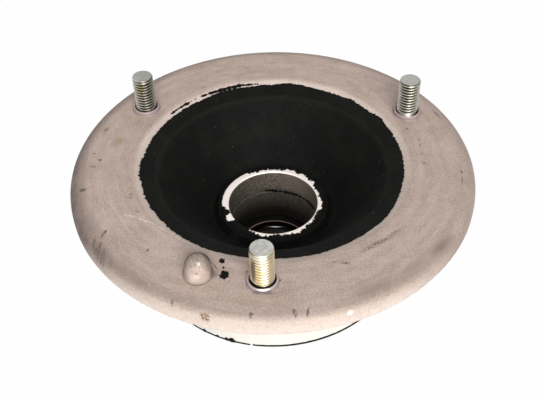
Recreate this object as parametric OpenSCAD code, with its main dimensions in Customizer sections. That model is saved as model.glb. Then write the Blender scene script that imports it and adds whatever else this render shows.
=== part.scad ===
// Strut mount: a cast flange with three press-in studs, a bonded rubber funnel and an inner
// sleeve that carries a sealed ball bearing for the damper rod.
// Millimetres. Origin: centre of the flange's top face. +Z points up along the studs.

/* [Flange] */
// Outer diameter of the flange
flange_d = 150; // [144:0.5:156]
// Thickness of the flange at its edge
flange_t = 8.6; // [8:0.1:10]
// Radius of the rounded upper edge
rim_round = 5.4; // [2:0.1:6]
// Radius of the lower edge
rim_under_round = 1.5; // [0.5:0.1:1.8]
// Diameter where the flat top face ends and the slope into the mouth begins
mouth_slope_d = 103; // [101:0.5:105]
// Diameter of the rubber's outer edge in the mouth
mouth_d = 97; // [95:0.5:99]
// Depth of the rubber's outer edge below the top face
mouth_drop = 0.95; // [0.6:0.05:1.4]
// Thickness of the rubber's edge on the slope
mouth_skin = 0.3; // [0.15:0.05:0.5]
// Diameter where the rubber's seat begins under its edge
skin_seat_d = 92.8; // [91:0.1:94]
// Diameter of the metal lip under the rubber
lip_d = 86; // [84:0.5:88]
// Depth of the metal lip below the top face
lip_drop = 3.9; // [3.5:0.1:5]

/* [Skirt] */
// Outer diameter of the skirt at its lower end
skirt_d = 100.3; // [98:0.1:102]
// Outer diameter of the skirt under the flange
skirt_top_d = 104; // [103:0.1:105]
// Inner diameter of the skirt at its lower end
skirt_bore_d = 92; // [90:0.5:94]
// Depth of the skirt's lower end below the top face
skirt_depth = 46.9; // [44:0.1:49]
// Radius of the fillet between skirt and flange
skirt_fillet = 1.8; // [0.5:0.1:1.8]

/* [Studs] */
// Diameter of the stud circle
stud_pcd = 119.3; // [118:0.1:121]
// Number of studs
stud_count = 3; // [2:1:4]
// Thread diameter
stud_d = 8; // [6:1:8]
// Height of the studs above the flange
stud_h = 15.8; // [12:0.1:24]
// Width of the thread's lead chamfer
stud_chamfer = 0.8; // [0.4:0.1:1.2]
// Depth of the plain shank under the thread's crests
shank_in = 0.4; // [0.2:0.05:0.6]
// Height of the thread's start above the collar
thread_lift = 0.2; // [0.15:0.05:1]
// Diameter of the press-in neck inside the flange
neck_d = 8.8; // [8.6:0.1:9]
// Diameter of the head under the flange
stud_head_d = 11; // [10:0.1:11]
// Thickness of the head
stud_head_t = 3; // [2:0.1:4]
// Outer diameter of the raised collar round a stud
collar_d = 10.4; // [10.2:0.1:12]
// Inner diameter of the raised collar
collar_bore_d = 9.1; // [9.05:0.05:9.3]
// Height of the raised collar
collar_h = 1.7; // [0.8:0.1:2]

/* [Locating pin] */
// Diameter of the pin below its dome
pin_d = 8.7; // [6:0.1:10]
// Taper of the pin's side, over its height
pin_taper = 0.25; // [0.2:0.05:0.5]
// Diameter of the circle that the pin stands on
pin_circle_d = 120.2; // [118:0.1:122]
// Height of the pin above the flange
pin_h = 7.2; // [6:0.1:9]
// Angle of the pin from the front stud, in degrees
pin_angle = -20.6; // [-40:0.1:-15]
// Radius of the fillet at the pin's foot
pin_fillet = 0.8; // [0.3:0.1:1.2]

/* [Inner sleeve] */
// Bore of the sleeve at its rim
sleeve_bore_d = 34.4; // [33:0.1:36]
// Outer diameter of the sleeve at its rim
sleeve_rim_d = 40.4; // [39.5:0.1:41]
// Depth of the rim below the flange's top face
sleeve_rim_drop = 21.5; // [20:0.1:23]
// Depth of the small step in the bore
bore_step_drop = 32; // [28:0.1:38]
// Bore of the sleeve below the step
lower_bore_d = 33.8; // [32.6:0.1:34]
// Outer diameter of the bearing cup
cup_d = 62; // [60:0.5:64]
// Depth at which the sleeve begins to widen
flare_drop = 32; // [30:0.5:34]
// Depth at which the cup has its full width
cup_drop = 44; // [42:0.5:46]
// Length of the cup below the bearing
cup_foot = 4; // [3.2:0.1:6]

/* [Rubber] */
// Diameter at the change of slope below the mouth
funnel_d = 86; // [82:0.5:90]
// Depth at the change of slope
funnel_drop = 3; // [2.2:0.1:3.4]
// Diameter of the valley round the sleeve
valley_d = 47.6; // [46:0.1:50]
// Depth of the valley
valley_drop = 26; // [24.5:0.1:28]
// Thickness of the rubber skin on the sleeve and under the skirt
skin_t = 0.6; // [0.4:0.05:1]
// Depth at which the rubber ends on the cup
rubber_end_drop = 53; // [50:0.5:56]
// Depth of the top of the groove on the underside
groove_drop = 40; // [36:0.5:43]
// Width of the groove on the underside
groove_w = 8; // [6:0.5:9]

/* [Bearing] */
// Bore of the bearing
bearing_bore_d = 20; // [18:0.5:22]
// Outer diameter of the bearing
bearing_d = 52; // [51:0.5:52]
// Width of the bearing
bearing_w = 15; // [15:0.1:17]
// Depth of the bearing's top face below the flange
bearing_drop = 46; // [45.5:0.1:48]
// Number of balls
ball_count = 7; // [5:1:7]
// Diameter of the balls
ball_d = 9.525; // [9:0.005:9.6]
// Pitch diameter of the balls
ball_pitch_d = 36; // [36:0.1:36.4]
// Diameter of the inner ring's shoulders
inner_land_d = 28.8; // [28:0.1:29]
// Diameter of the outer ring's shoulders
outer_land_d = 41.8; // [41.6:0.1:42.6]
// Chamfer on the rings' edges
ring_chamfer = 0.8; // [0.4:0.1:1]
// Thickness of the seals
seal_t = 1.3; // [1:0.05:1.4]
// Depth of the seals below the rings' faces
seal_recess = 0.35; // [0.2:0.05:0.4]
// Thickness of the cage's sheet
cage_t = 0.7; // [0.5:0.05:0.75]
// Diameter of a cage rivet
rivet_d = 1.4; // [1:0.1:1.6]

/* [Retaining ring] */
// Thickness of the snap ring
snap_t = 2; // [1.5:0.1:2]
// Width of the snap ring's band
snap_w = 3.6; // [3:0.1:4]
// Opening of the snap ring, in degrees
snap_open = 34; // [24:1:60]

/* [Clearances] */
// Gap of a press fit, all round
press_gap = 0.02; // [0:0.01:0.05]
// Gap between the balls and their races or pockets
ball_gap = 0.1; // [0.05:0.01:0.14]
// Gap between the cage and the inner ring's shoulders
cage_in_gap = 1.2; // [0.8:0.1:1.6]
// Gap between the cage and the outer ring's shoulders
cage_out_gap = 0.5; // [0.3:0.1:1]
// Gap between a seal's lip and the inner ring
lip_gap = 0.15; // [0.1:0.01:0.3]
// Gap of the snap ring in its groove
snap_gap = 0.1; // [0.05:0.01:0.2]

/* [Hidden] */
$fn = 96;
EPS = 0.01;
over = 1;
arc_over = 0.0004;

flange_r = flange_d / 2;
mouth_r = mouth_d / 2;
skin_seat_r = skin_seat_d / 2;
lip_r = lip_d / 2;
skirt_r = skirt_d / 2;
skirt_bore_r = skirt_bore_d / 2;
skirt_end_round = 0.3;
mouth_blend = 6;
lip_round = 1.2;
skin_seat = 0.6;
skin_seat_run = 0.4;

stud_r = stud_d / 2;
shank_r = stud_r - shank_in;
thread_start = collar_h + thread_lift;
neck_r = neck_d / 2;
stud_pcr = stud_pcd / 2;
front_angle = -90;
stud_step = 360 / stud_count;
head_round = 0.5;
collar_r = collar_d / 2;
collar_bore_r = collar_bore_d / 2;
collar_fillet = collar_h / 3;
collar_foot_r = collar_r + collar_h / 2;
collar_wall = collar_r - collar_bore_r;
collar_round = 0.7 * collar_wall;
collar_lip = 0.2 * collar_wall;
pin_r = pin_d / 2;
pin_root_r = pin_r + pin_taper;
pin_foot_r = pin_root_r + 2 * pin_fillet;
root_z = -flange_t / 2;

sleeve_bore_r = sleeve_bore_d / 2;
sleeve_rim_r = sleeve_rim_d / 2;
lower_bore_r = lower_bore_d / 2;
sleeve_draft = 0.5;
sleeve_wall = sleeve_rim_r - sleeve_bore_r;
rim_edge_round = sleeve_wall / 5;
sleeve_bond = sleeve_wall / 3;
bore_step_run = 0.25;
flare_fillet = 4;
cup_r = cup_d / 2;
cup_round = 3;
seat_r = bearing_d / 2;
seat_relief_r = outer_land_d / 2 + 1.7;
seat_relief_t = 0.6;
seat_chamfer = 0.7;
foot_round = 1;
bearing_end = bearing_drop + bearing_w;
snap_seat_t = snap_t + snap_gap;
snap_seat_r = seat_r + 1.5;
cup_end = bearing_end + cup_foot;

funnel_r = funnel_d / 2;
mouth_fall = (funnel_drop - mouth_drop) / (mouth_r - funnel_r);
skin_seat_drop = mouth_drop + mouth_skin + (mouth_r - skin_seat_r) * mouth_fall;
valley_r = valley_d / 2;
valley_round = 1.6;
skin_top_round = 0.7;
skin_foot_drop = 1.1;
rim_bare = 0.5;
groove_mid_r = (skirt_bore_r + cup_r) / 2;
rubber_foot_w = 2.4;
rubber_foot_round = 1;
skin_edge_round = 0.4;
funnel_round = 3;
groove_round = groove_w / 3;
bond_in = 1;

ball_r = ball_d / 2;
pitch_r = ball_pitch_d / 2;
race_r = ball_r + ball_gap;
bearing_r = bearing_d / 2 - press_gap;
bearing_bore_r = bearing_bore_d / 2;
inner_land_r = inner_land_d / 2;
outer_land_r = outer_land_d / 2;
half_w = bearing_w / 2;
bearing_mid = -bearing_drop - half_w;
seal_seat_t = seal_recess + seal_t;
seal_bead = 0.9;
seal_mouth_r = outer_land_r + 0.9;
seal_groove_r = seal_mouth_r + 0.6;
seal_dish = 0.25;
seal_bead_in = 0.15;
seal_edge_round = 0.2;
seal_lip_round = 0.1;
seal_lip_r = inner_land_r + lip_gap;
seal_rim_r = seal_groove_r - press_gap;
seal_web_r = seal_mouth_r - seal_bead;
seal_low = half_w - seal_seat_t;
seal_top = half_w - seal_recess;
cage_in_r = inner_land_r + cage_in_gap;
cage_w = outer_land_r - cage_out_gap - cage_in_r;
cage_mid_r = cage_in_r + cage_w / 2;
pocket_r = ball_r + ball_gap;
shell_r = pocket_r + cage_t;
pocket_mid_r = (pocket_r + shell_r) / 2;
ball_step = 360 / ball_count;
rivet_r = rivet_d / 2;
rivet_head_r = rivet_r + 0.6;
rivet_head_t = 0.5;

snap_r = snap_seat_r - snap_gap;
snap_lug_r = 3;
snap_hole_r = 1.25;
snap_lug_in = 1.2;
snap_lug_turn = snap_open / 2 + 6;
snap_lug_mid = snap_r - snap_w - snap_lug_in;
snap_top = -bearing_end - snap_gap / 2;

cast_colour = [0.70, 0.65, 0.62];
rubber_colour = [0.09, 0.09, 0.09];
stud_colour = [0.76, 0.70, 0.52];
steel_colour = [0.72, 0.73, 0.75];
cage_colour = [0.60, 0.58, 0.52];
seal_colour = [0.06, 0.06, 0.06];
spring_colour = [0.22, 0.22, 0.24];

// Corner geometry of a profile whose points are [radius, height, corner radius], listed
// anticlockwise.
function at(p, i) = [p[i][0], p[i][1]];
function before(p, i) = at(p, (i + len(p) - 1) % len(p));
function after(p, i) = at(p, (i + 1) % len(p));
function unit(v) = v / norm(v);
function to_before(p, i) = unit(before(p, i) - at(p, i));
function to_after(p, i) = unit(after(p, i) - at(p, i));
function corner(p, i) = acos(to_before(p, i) * to_after(p, i));
function reach(p, i) = p[i][2] / tan(corner(p, i) / 2);
function start(p, i) = at(p, i) + to_before(p, i) * reach(p, i);
function end(p, i) = at(p, i) + to_after(p, i) * reach(p, i);
function middle(p, i) = unit(to_before(p, i) + to_after(p, i));
function centre(p, i) = at(p, i) + middle(p, i) * p[i][2] / sin(corner(p, i) / 2);
function outward(p, i) = cross(to_after(p, i), to_before(p, i)) > 0;
function cut(p, i) = p[i][2] > 0 ? [start(p, i), end(p, i)] : [at(p, i)];

// The round of one corner: the part of its circle between the two sides. The circle is a hair
// larger than its radius, so that it always meets the sides.
module corner_round(p, i) {
    intersection() {
        translate(centre(p, i)) circle(r = p[i][2] + arc_over);
        polygon([start(p, i), at(p, i), end(p, i), centre(p, i)]);
    }
}

// A profile with every corner rounded by a true arc.
module profile(p) {
    difference() {
        union() {
            polygon([for (i = [0:len(p) - 1]) each cut(p, i)]);
            for (i = [0:len(p) - 1])
                if (p[i][2] > 0 && outward(p, i)) corner_round(p, i);
        }
        for (i = [0:len(p) - 1])
            if (p[i][2] > 0 && !outward(p, i)) corner_round(p, i);
    }
}

housing_points = [
    [skirt_bore_r, -skirt_depth, skirt_end_round],
    [skirt_r, -skirt_depth, skirt_end_round],
    [skirt_top_d / 2, -flange_t, skirt_fillet],
    [flange_r, -flange_t, rim_under_round],
    [flange_r, 0, rim_round],
    [mouth_slope_d / 2, 0, mouth_blend],
    [mouth_r, -mouth_drop - mouth_skin, 0],
    [skin_seat_r, -skin_seat_drop, 0],
    [skin_seat_r - skin_seat_run, -skin_seat_drop - skin_seat, 0],
    [lip_r, -lip_drop, lip_round]
];

sleeve_points = [
    [seat_r + seat_chamfer, -cup_end, 0],
    [cup_r, -cup_end, foot_round],
    [cup_r, -cup_drop, cup_round],
    [sleeve_rim_r + sleeve_draft, -flare_drop, flare_fillet],
    [sleeve_rim_r, -sleeve_rim_drop, rim_edge_round],
    [sleeve_bore_r, -sleeve_rim_drop, rim_edge_round],
    [sleeve_bore_r, -bore_step_drop, 0],
    [lower_bore_r, -bore_step_drop - bore_step_run, 0],
    [lower_bore_r, -bearing_drop + seat_relief_t, 0],
    [seat_relief_r, -bearing_drop + seat_relief_t, 0],
    [seat_relief_r, -bearing_drop, 0],
    [seat_r, -bearing_drop, 0],
    [seat_r, -bearing_end, 0],
    [snap_seat_r, -bearing_end, 0],
    [snap_seat_r, -bearing_end - snap_seat_t, 0],
    [seat_r, -bearing_end - snap_seat_t, 0],
    [seat_r, -cup_end + seat_chamfer, 0]
];

// The rubber before the metal it is bonded to is taken away: its hidden sides run inside the metal.
rubber_points = [
    [cup_r - bond_in, -rubber_end_drop, 0],
    [cup_r + rubber_foot_w, -rubber_end_drop, rubber_foot_round],
    [groove_mid_r - groove_w / 2, -groove_drop, groove_round],
    [groove_mid_r + groove_w / 2, -groove_drop, groove_round],
    [skirt_bore_r - skin_t, -skirt_depth - skin_t, skin_edge_round],
    [skirt_r, -skirt_depth - skin_t, 0],
    [skirt_r, -skirt_depth + skirt_end_round, 0],
    [skirt_bore_r + bond_in, -skirt_depth + bond_in, 0],
    [skirt_bore_r + bond_in, -lip_drop - bond_in, 0],
    [mouth_r, -mouth_drop - mouth_skin - EPS, 0],
    [mouth_r, -mouth_drop, 0],
    [funnel_r, -funnel_drop, funnel_round],
    [valley_r, -valley_drop, valley_round],
    [sleeve_rim_r + skin_foot_drop, -sleeve_rim_drop - rim_bare, skin_top_round],
    [sleeve_rim_r - sleeve_bond, -sleeve_rim_drop - rim_bare, 0],
    [sleeve_rim_r - sleeve_bond, -flare_drop - bond_in, 0],
    [cup_r - bond_in, -cup_drop - bond_in, 0]
];

inner_ring_points = [
    [bearing_bore_r, -half_w, ring_chamfer],
    [inner_land_r, -half_w, ring_chamfer / 2],
    [inner_land_r, half_w, ring_chamfer / 2],
    [bearing_bore_r, half_w, ring_chamfer]
];

outer_ring_points = [
    [seal_mouth_r, -half_w, 0],
    [bearing_r, -half_w, ring_chamfer],
    [bearing_r, half_w, ring_chamfer],
    [seal_mouth_r, half_w, 0],
    [seal_mouth_r, half_w - seal_recess, 0],
    [seal_groove_r, half_w - seal_recess, 0],
    [seal_groove_r, half_w - seal_seat_t, 0],
    [outer_land_r, half_w - seal_seat_t, 0],
    [outer_land_r, -half_w + seal_seat_t, 0],
    [seal_groove_r, -half_w + seal_seat_t, 0],
    [seal_groove_r, -half_w + seal_recess, 0],
    [seal_mouth_r, -half_w + seal_recess, 0]
];

seal_points = [
    [seal_lip_r, seal_low + seal_dish, seal_edge_round],
    [outer_land_r, seal_low + seal_dish, 0],
    [outer_land_r + seal_bead_in, seal_low, 0],
    [seal_rim_r, seal_low, seal_edge_round],
    [seal_rim_r, seal_top, seal_edge_round],
    [seal_web_r, seal_top, 0],
    [seal_web_r - seal_dish, seal_top - seal_dish, 0],
    [seal_lip_r + seal_bead, seal_top - seal_dish, 0],
    [seal_lip_r + seal_bead - seal_dish, seal_top, seal_lip_round],
    [seal_lip_r, seal_top, seal_edge_round]
];

pin_points = [
    [0, root_z, 0],
    [pin_foot_r, root_z, 0],
    [pin_foot_r, 0, 0],
    [pin_root_r, 0, pin_fillet],
    [pin_r, pin_h, pin_r],
    [0, pin_h, 0]
];

stud_points = [
    [0, -flange_t - stud_head_t, 0],
    [stud_head_d / 2, -flange_t - stud_head_t, head_round],
    [stud_head_d / 2, -flange_t, 0],
    [neck_r - press_gap, -flange_t, 0],
    [neck_r - press_gap, 0, 0],
    [shank_r, 0, 0],
    [shank_r, thread_start - shank_in, 0],
    [stud_r, thread_start, 0],
    [stud_r, stud_h - stud_chamfer, 0],
    [stud_r - stud_chamfer, stud_h, 0],
    [0, stud_h, 0]
];

collar_points = [
    [collar_bore_r, root_z, 0],
    [collar_foot_r, root_z, 0],
    [collar_foot_r, 0, 0],
    [collar_r, 0, collar_fillet],
    [collar_r, collar_h, collar_round],
    [collar_bore_r, collar_h, collar_lip]
];

// Puts its children at every stud.
module at_studs() {
    for (i = [0:stud_count - 1])
        rotate(front_angle + i * stud_step) translate([stud_pcr, 0, 0]) children();
}

// Puts its children at every ball.
module at_balls() {
    for (i = [0:ball_count - 1])
        rotate(i * ball_step) translate([pitch_r, 0, 0]) children();
}

// Puts its children on the cage's bars, midway between the balls.
module at_bars() {
    for (i = [0:ball_count - 1])
        rotate((i + 0.5) * ball_step) translate([cage_mid_r, 0, 0]) children();
}

module flange_housing() {
    color(cast_colour) difference() {
        union() {
            rotate_extrude() profile(housing_points);
            rotate(front_angle + pin_angle) translate([pin_circle_d / 2, 0, 0])
                rotate_extrude() profile(pin_points);
            at_studs() rotate_extrude() profile(collar_points);
        }
        at_studs() translate([0, 0, -flange_t - over]) cylinder(r = neck_r, h = flange_t + over);
    }
}

module rubber_cone() {
    color(rubber_colour) rotate_extrude() difference() {
        profile(rubber_points);
        profile(housing_points);
        profile(sleeve_points);
    }
}

module inner_sleeve() {
    color(cast_colour) rotate_extrude() profile(sleeve_points);
}

module studs() {
    color(stud_colour) at_studs() rotate_extrude() profile(stud_points);
}

// The groove that the balls run in, as a ring to be taken away from a bearing ring.
module race() {
    rotate_extrude() translate([pitch_r, 0]) circle(r = race_r);
}

module bearing_outer_ring() {
    color(steel_colour) translate([0, 0, bearing_mid]) difference() {
        rotate_extrude() profile(outer_ring_points);
        race();
    }
}

module bearing_inner_ring() {
    color(steel_colour) translate([0, 0, bearing_mid]) difference() {
        rotate_extrude() profile(inner_ring_points);
        race();
    }
}

module bearing_balls() {
    color(steel_colour) translate([0, 0, bearing_mid]) at_balls() sphere(r = ball_r);
}

// A ring of rectangular section standing on the plane between the cage's halves.
module band(h) {
    rotate_extrude() translate([cage_in_r, 0]) square([cage_w, h]);
}

// The dome over one ball: half of a hollow sphere.
module pocket() {
    rotate_extrude() intersection() {
        difference() {
            circle(r = shell_r);
            circle(r = pocket_r);
        }
        square(2 * shell_r);
    }
}

// One half of the cage: flat bars between the balls and a dome over each ball.
module cage_half() {
    difference() {
        band(cage_t);
        at_balls() translate([0, 0, -over]) cylinder(r = pocket_mid_r, h = cage_t + 2 * over);
        at_bars() translate([0, 0, -over]) cylinder(r = rivet_r + press_gap, h = cage_t + 2 * over);
    }
    intersection() {
        band(2 * shell_r);
        at_balls() pocket();
    }
}

module cage_upper() {
    color(cage_colour) translate([0, 0, bearing_mid]) cage_half();
}

module cage_lower() {
    color(cage_colour) translate([0, 0, bearing_mid]) mirror([0, 0, 1]) cage_half();
}

module cage_rivets() {
    color(steel_colour) translate([0, 0, bearing_mid]) at_bars() {
        translate([0, 0, -cage_t]) cylinder(r = rivet_r, h = 2 * cage_t);
        translate([0, 0, cage_t]) cylinder(r = rivet_head_r, h = rivet_head_t);
        translate([0, 0, -cage_t - rivet_head_t]) cylinder(r = rivet_head_r, h = rivet_head_t);
    }
}

module upper_seal() {
    color(seal_colour) translate([0, 0, bearing_mid]) rotate_extrude() profile(seal_points);
}

module lower_seal() {
    color(seal_colour) translate([0, 0, bearing_mid]) mirror([0, 0, 1])
        rotate_extrude() profile(seal_points);
}

// A point on the side of the snap ring's opening, beyond its outer edge.
function snap_side(turn) = 2 * snap_r * [cos(turn), sin(turn)];

// Puts its children at the two eyes beside the snap ring's opening.
module at_eyes() {
    for (side = [-1, 1]) rotate(side * snap_lug_turn) translate([snap_lug_mid, 0]) children();
}

module retaining_ring() {
    color(spring_colour) translate([0, 0, snap_top - snap_t]) linear_extrude(snap_t) difference() {
        union() {
            difference() {
                circle(r = snap_r);
                circle(r = snap_r - snap_w);
            }
            at_eyes() circle(r = snap_lug_r);
        }
        polygon([[0, 0], snap_side(-snap_open / 2), snap_side(snap_open / 2)]);
        at_eyes() circle(r = snap_hole_r);
    }
}

flange_housing();
rubber_cone();
inner_sleeve();
studs();
bearing_outer_ring();
bearing_inner_ring();
bearing_balls();
cage_upper();
cage_lower();
cage_rivets();
upper_seal();
lower_seal();
retaining_ring();
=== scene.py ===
"""Looks of a strut mount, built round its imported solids: a blasted cast flange with three threaded
studs, a black rubber funnel with torn moulding edges, and a sleeve that holds a sealed bearing."""
import math
from functools import partial
from types import SimpleNamespace

import bmesh
import bpy
import numpy as np
from bpy.props import FloatProperty, FloatVectorProperty, IntProperty, PointerProperty
from bpy.types import Operator, Panel, PropertyGroup
from mathutils import Matrix, Vector, noise


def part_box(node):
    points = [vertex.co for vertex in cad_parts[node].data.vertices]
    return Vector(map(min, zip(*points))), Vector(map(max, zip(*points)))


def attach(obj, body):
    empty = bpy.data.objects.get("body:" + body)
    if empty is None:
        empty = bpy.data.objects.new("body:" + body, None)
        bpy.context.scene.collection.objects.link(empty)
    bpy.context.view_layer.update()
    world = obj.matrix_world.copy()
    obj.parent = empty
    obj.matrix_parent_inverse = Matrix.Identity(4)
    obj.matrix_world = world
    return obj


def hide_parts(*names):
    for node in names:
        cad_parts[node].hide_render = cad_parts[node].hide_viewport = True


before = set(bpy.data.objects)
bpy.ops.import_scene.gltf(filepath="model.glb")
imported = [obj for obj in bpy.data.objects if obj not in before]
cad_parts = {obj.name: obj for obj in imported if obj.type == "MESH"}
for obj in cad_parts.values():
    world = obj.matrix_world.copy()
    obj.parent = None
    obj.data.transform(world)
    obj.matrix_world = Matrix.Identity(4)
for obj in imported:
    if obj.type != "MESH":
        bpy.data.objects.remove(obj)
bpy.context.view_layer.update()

bl_info = {
    "name": "Strut Mount",
    "version": (1, 0, 0),
    "blender": (4, 5, 0),
    "location": "View3D > Sidebar > Strut Mount",
    "description": "Finishes a strut mount: casting, rubber, studs, sleeve, bearing and stage",
    "category": "Object",
}

MM = 0.001
FLOOR_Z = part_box("inner_sleeve")[0].z
STUD_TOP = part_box("studs")[1].z
STUD_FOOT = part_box("studs")[0].z

# Points closer than this are one (mm).
MERGE_MM = 1e-4
# Attribute that tells a thread's roots from its crests.
ROOT = "thread_root"

# Width of the camera's sensor, and the nearest that it sees (mm).
SENSOR_MM = 36
CLIP_MM = 10
# Half the floor's width (m), and the white of the floor and the surround.
FLOOR_HALF = 4.0
WHITE = (1, 1, 1, 1)

# Nodes that the finishes use most, and the sockets of the Mix node when it mixes colours.
SHADER = "Principled BSDF"
MATH = "ShaderNodeMath"
VECTOR = "ShaderNodeVectorMath"
RANGE = "ShaderNodeMapRange"
NOISE = "ShaderNodeTexNoise"
BUMP = "ShaderNodeBump"
MIX = "ShaderNodeMix"
MIX_A, MIX_B, MIX_OUT = 6, 7, 2
# Values between which most of a noise lies.
LOW, HIGH = 0.3, 0.7


def linear(hexcode):
    """An sRGB hex colour as linear red, green, blue and alpha."""
    parts = [int(hexcode[i:i + 2], 16) / 255 for i in (1, 3, 5)]
    return tuple(c / 12.92 if c <= 0.04045 else ((c + 0.055) / 1.055) ** 2.4 for c in parts) + (1.0,)


def length(name, description, millimetres):
    """A size property, given in millimetres and kept in metres."""
    return FloatProperty(name=name, description=description, default=millimetres * MM, unit="LENGTH")


def angle(name, description, degrees):
    """An angle property, given in degrees."""
    turn = math.radians(degrees)
    return FloatProperty(name=name, description=description, default=turn, unit="ROTATION")


def power(name, description, watts):
    """A lamp's power."""
    return FloatProperty(name=name, description=description, default=watts, unit="POWER")


def share(name, description, value):
    """A plain number from 0 to 1."""
    return FloatProperty(
        name=name, description=description, default=value, min=0, max=1, subtype="FACTOR"
    )


def colour(name, description, hexcode):
    """A colour property, given as an sRGB hex value."""
    return FloatVectorProperty(
        name=name, description=description, default=linear(hexcode), size=4, min=0, max=1, subtype="COLOR"
    )


class StageSettings(PropertyGroup):
    """Camera, lamps and floor."""

    distance: length("Camera distance", "From the middle of the flange to the camera", 312.3)
    azimuth: angle("Camera azimuth", "Turn of the camera to the right of the front stud", 3.83)
    elevation: angle("Camera elevation", "Height of the camera above the flange, as an angle", 40.76)
    pan: angle("Pan", "Turn of the view to the right", -0.0745)
    tilt: angle("Tilt", "Turn of the view upwards", -2.750)
    roll: angle("Roll", "Turn of the view about its own axis", -1.444)
    lens: FloatProperty(
        name="Lens", description="Focal length on a 36 mm sensor", default=55.54, unit="CAMERA"
    )
    lamp_distance: length("Lamp distance", "From the middle of the flange to either lamp", 2000)
    lamp_size: length("Lamp size", "Width of either square lamp", 1285)
    key_power: power("Key power", "Power of the key lamp", 42)
    key_azimuth: angle("Key azimuth", "Turn of the key lamp to the right of the front stud", 15)
    key_elevation: angle("Key elevation", "Height of the key lamp above the flange, as an angle", 33)
    fill_power: power("Fill power", "Power of the fill lamp", 16)
    fill_azimuth: angle("Fill azimuth", "Turn of the fill lamp to the right of the front stud", 8)
    fill_elevation: angle("Fill elevation", "Height of the fill lamp above the flange, as an angle", 5)
    sky: share("Sky", "Strength of the light that comes from all round", 0.34)
    floor_colour: colour("Floor", "Paint of the floor", "#CFCEC9")
    floor_glow: share("Floor glow", "Share of the floor's own white where it is seen", 0.99)


class CastingSettings(PropertyGroup):
    """The flange housing's finish."""

    light: colour("Light tone", "Lighter clouds of the blasted skin", "#CFBBB1")
    dark: colour("Dark tone", "Darker clouds of the blasted skin", "#A59186")
    olive: colour("Olive tone", "Yellower clouds of the blasted skin", "#B3A48E")
    # Paler skirt: partly cleaner metal and partly painted light.
    skirt: colour("Skirt", "Cleaner metal of the skirt", "#E0DDD6")
    # Dark handling marks, also used for painted shade on the pin and the front collar.
    soot_and_shade: colour("Soot", "Dark handling marks", "#5B5049")
    # Soft smears, which along the start of the front rim are partly painted shade.
    smear: colour("Smear", "Soft brown smears", "#75655B")
    film: colour("Film", "Thin film of rubber on the locating pin", "#2A2421")
    rust: colour("Rust", "Brown stains", "#73563F")
    moss: colour("Moss", "Olive stain", "#978A66")
    # Pale stains and scratches, also used for painted highlights on the pin and painted light on the front
    # rim.
    chalk_and_highlight: colour("Chalk", "Pale stains and scratches", "#DDCFC5")
    # White: a spot of bare metal on the rim, and the painted highlight on the front collar.
    white: colour("White", "Spot of bare metal on the rim", "#FFFCF8")
    # Painted shade: the rim's darker back and left, the front rim's shoulder, and the thin line round the
    # pin and the collars.
    painted_shade: colour("Grime", "Darker rim of the flange", "#5F534E")
    # The pin's lighter side is painted light; its greyer dome is partly its own grey and partly painted
    # shade.
    pin_lit_side: colour("Pin's side", "Lighter side of the locating pin", "#B9A69B")
    pin_dome_and_shade: colour("Pin's top", "Greyer dome of the locating pin", "#A59689")
    collar: colour("Collar", "Burnished metal on top of the collars", "#B5A8A6")
    collar_side: colour("Collar's side", "Dull side of the collars", "#968689")


class RubberSettings(PropertyGroup):
    """The funnel of rubber that is moulded between the housing and the sleeve."""

    tone: colour("Rubber", "Black of the rubber", "#0B0B0A")
    # The bloom's grey also paints the sheen along the bend.
    bloom: colour("Bloom", "Greyer bloom on the rubber", "#191917")
    dust: colour("Dust", "Lint on the rubber", "#8D8B83")
    mouth: length("Mouth radius", "Outer edge of the rubber in the flange", 48.5)
    mouth_drop: length("Mouth drop", "Depth of that edge below the flange's face", 0.95)
    film: length("Film", "Thickness of the rubber's thin edges", 0.3)
    bend: length("Bend radius", "Where the slope changes below the mouth", 43)
    bend_drop: length("Bend drop", "Depth of the change of slope", 3)
    valley: length("Valley radius", "Lowest ring round the sleeve", 23.8)
    valley_drop: length("Valley drop", "Depth of the lowest ring", 26)
    steps: IntProperty(name="Steps", description="Steps round the rubber's mesh", default=1200, min=360)
    lint_density: FloatProperty(name="Lint density", description="Specks on a square metre", default=16000)
    lint_smallest: length("Smallest lint", "Radius of the smallest speck", 0.05)
    lint_largest: length("Largest lint", "Radius of the largest speck", 0.16)
    specks: IntProperty(name="Specks", description="Seed of the lint", default=7)


class StudSettings(PropertyGroup):
    """The press-in studs."""

    light: colour("Plating", "Pale zinc plating", "#F4EEDC")
    gold: colour("Yellow plating", "Yellower clouds of the plating", "#E8D29C")
    cool: colour("Cool plating", "Greyer plating of the rear studs", "#E2E1DC")
    # The front stud's darker olive side: partly plating colour and partly painted shade.
    olive: colour("Olive plating", "Stained side of the front stud", "#BBA576")
    yellow: colour("Deep yellow plating", "Yellow streak on the front stud", "#F2D27E")
    brown: colour("Brown plating", "Brown streak on the front stud", "#6E5440")
    tan: colour("Tan plating", "Tan side of the front stud", "#CDB48E")
    # Also the colour of the rear studs' painted shade and of the darker neck.
    dark: colour("Root", "Darker plating and dirt in the thread's roots", "#4C4636")
    face: colour("End face", "Bluish plating on the end face", "#B9BAB6")
    count: IntProperty(name="Count", description="Number of studs", default=3, min=1)
    circle: length("Stud circle", "Radius of the circle that the studs stand on", 59.65)
    first: angle("First stud", "Angle of the first stud", -90)
    radius: length("Thread radius", "Outer radius of the thread", 4)
    pitch: length("Pitch", "Rise of the thread in one turn", 1.25)
    neck: length("Plain neck", "Height above the flange at which the thread begins", 1.9)
    shank: length("Shank radius", "Radius of the plain shank under the thread", 3.6)
    chamfer: length("End round", "Width of the rounded end", 0.5)


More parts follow.
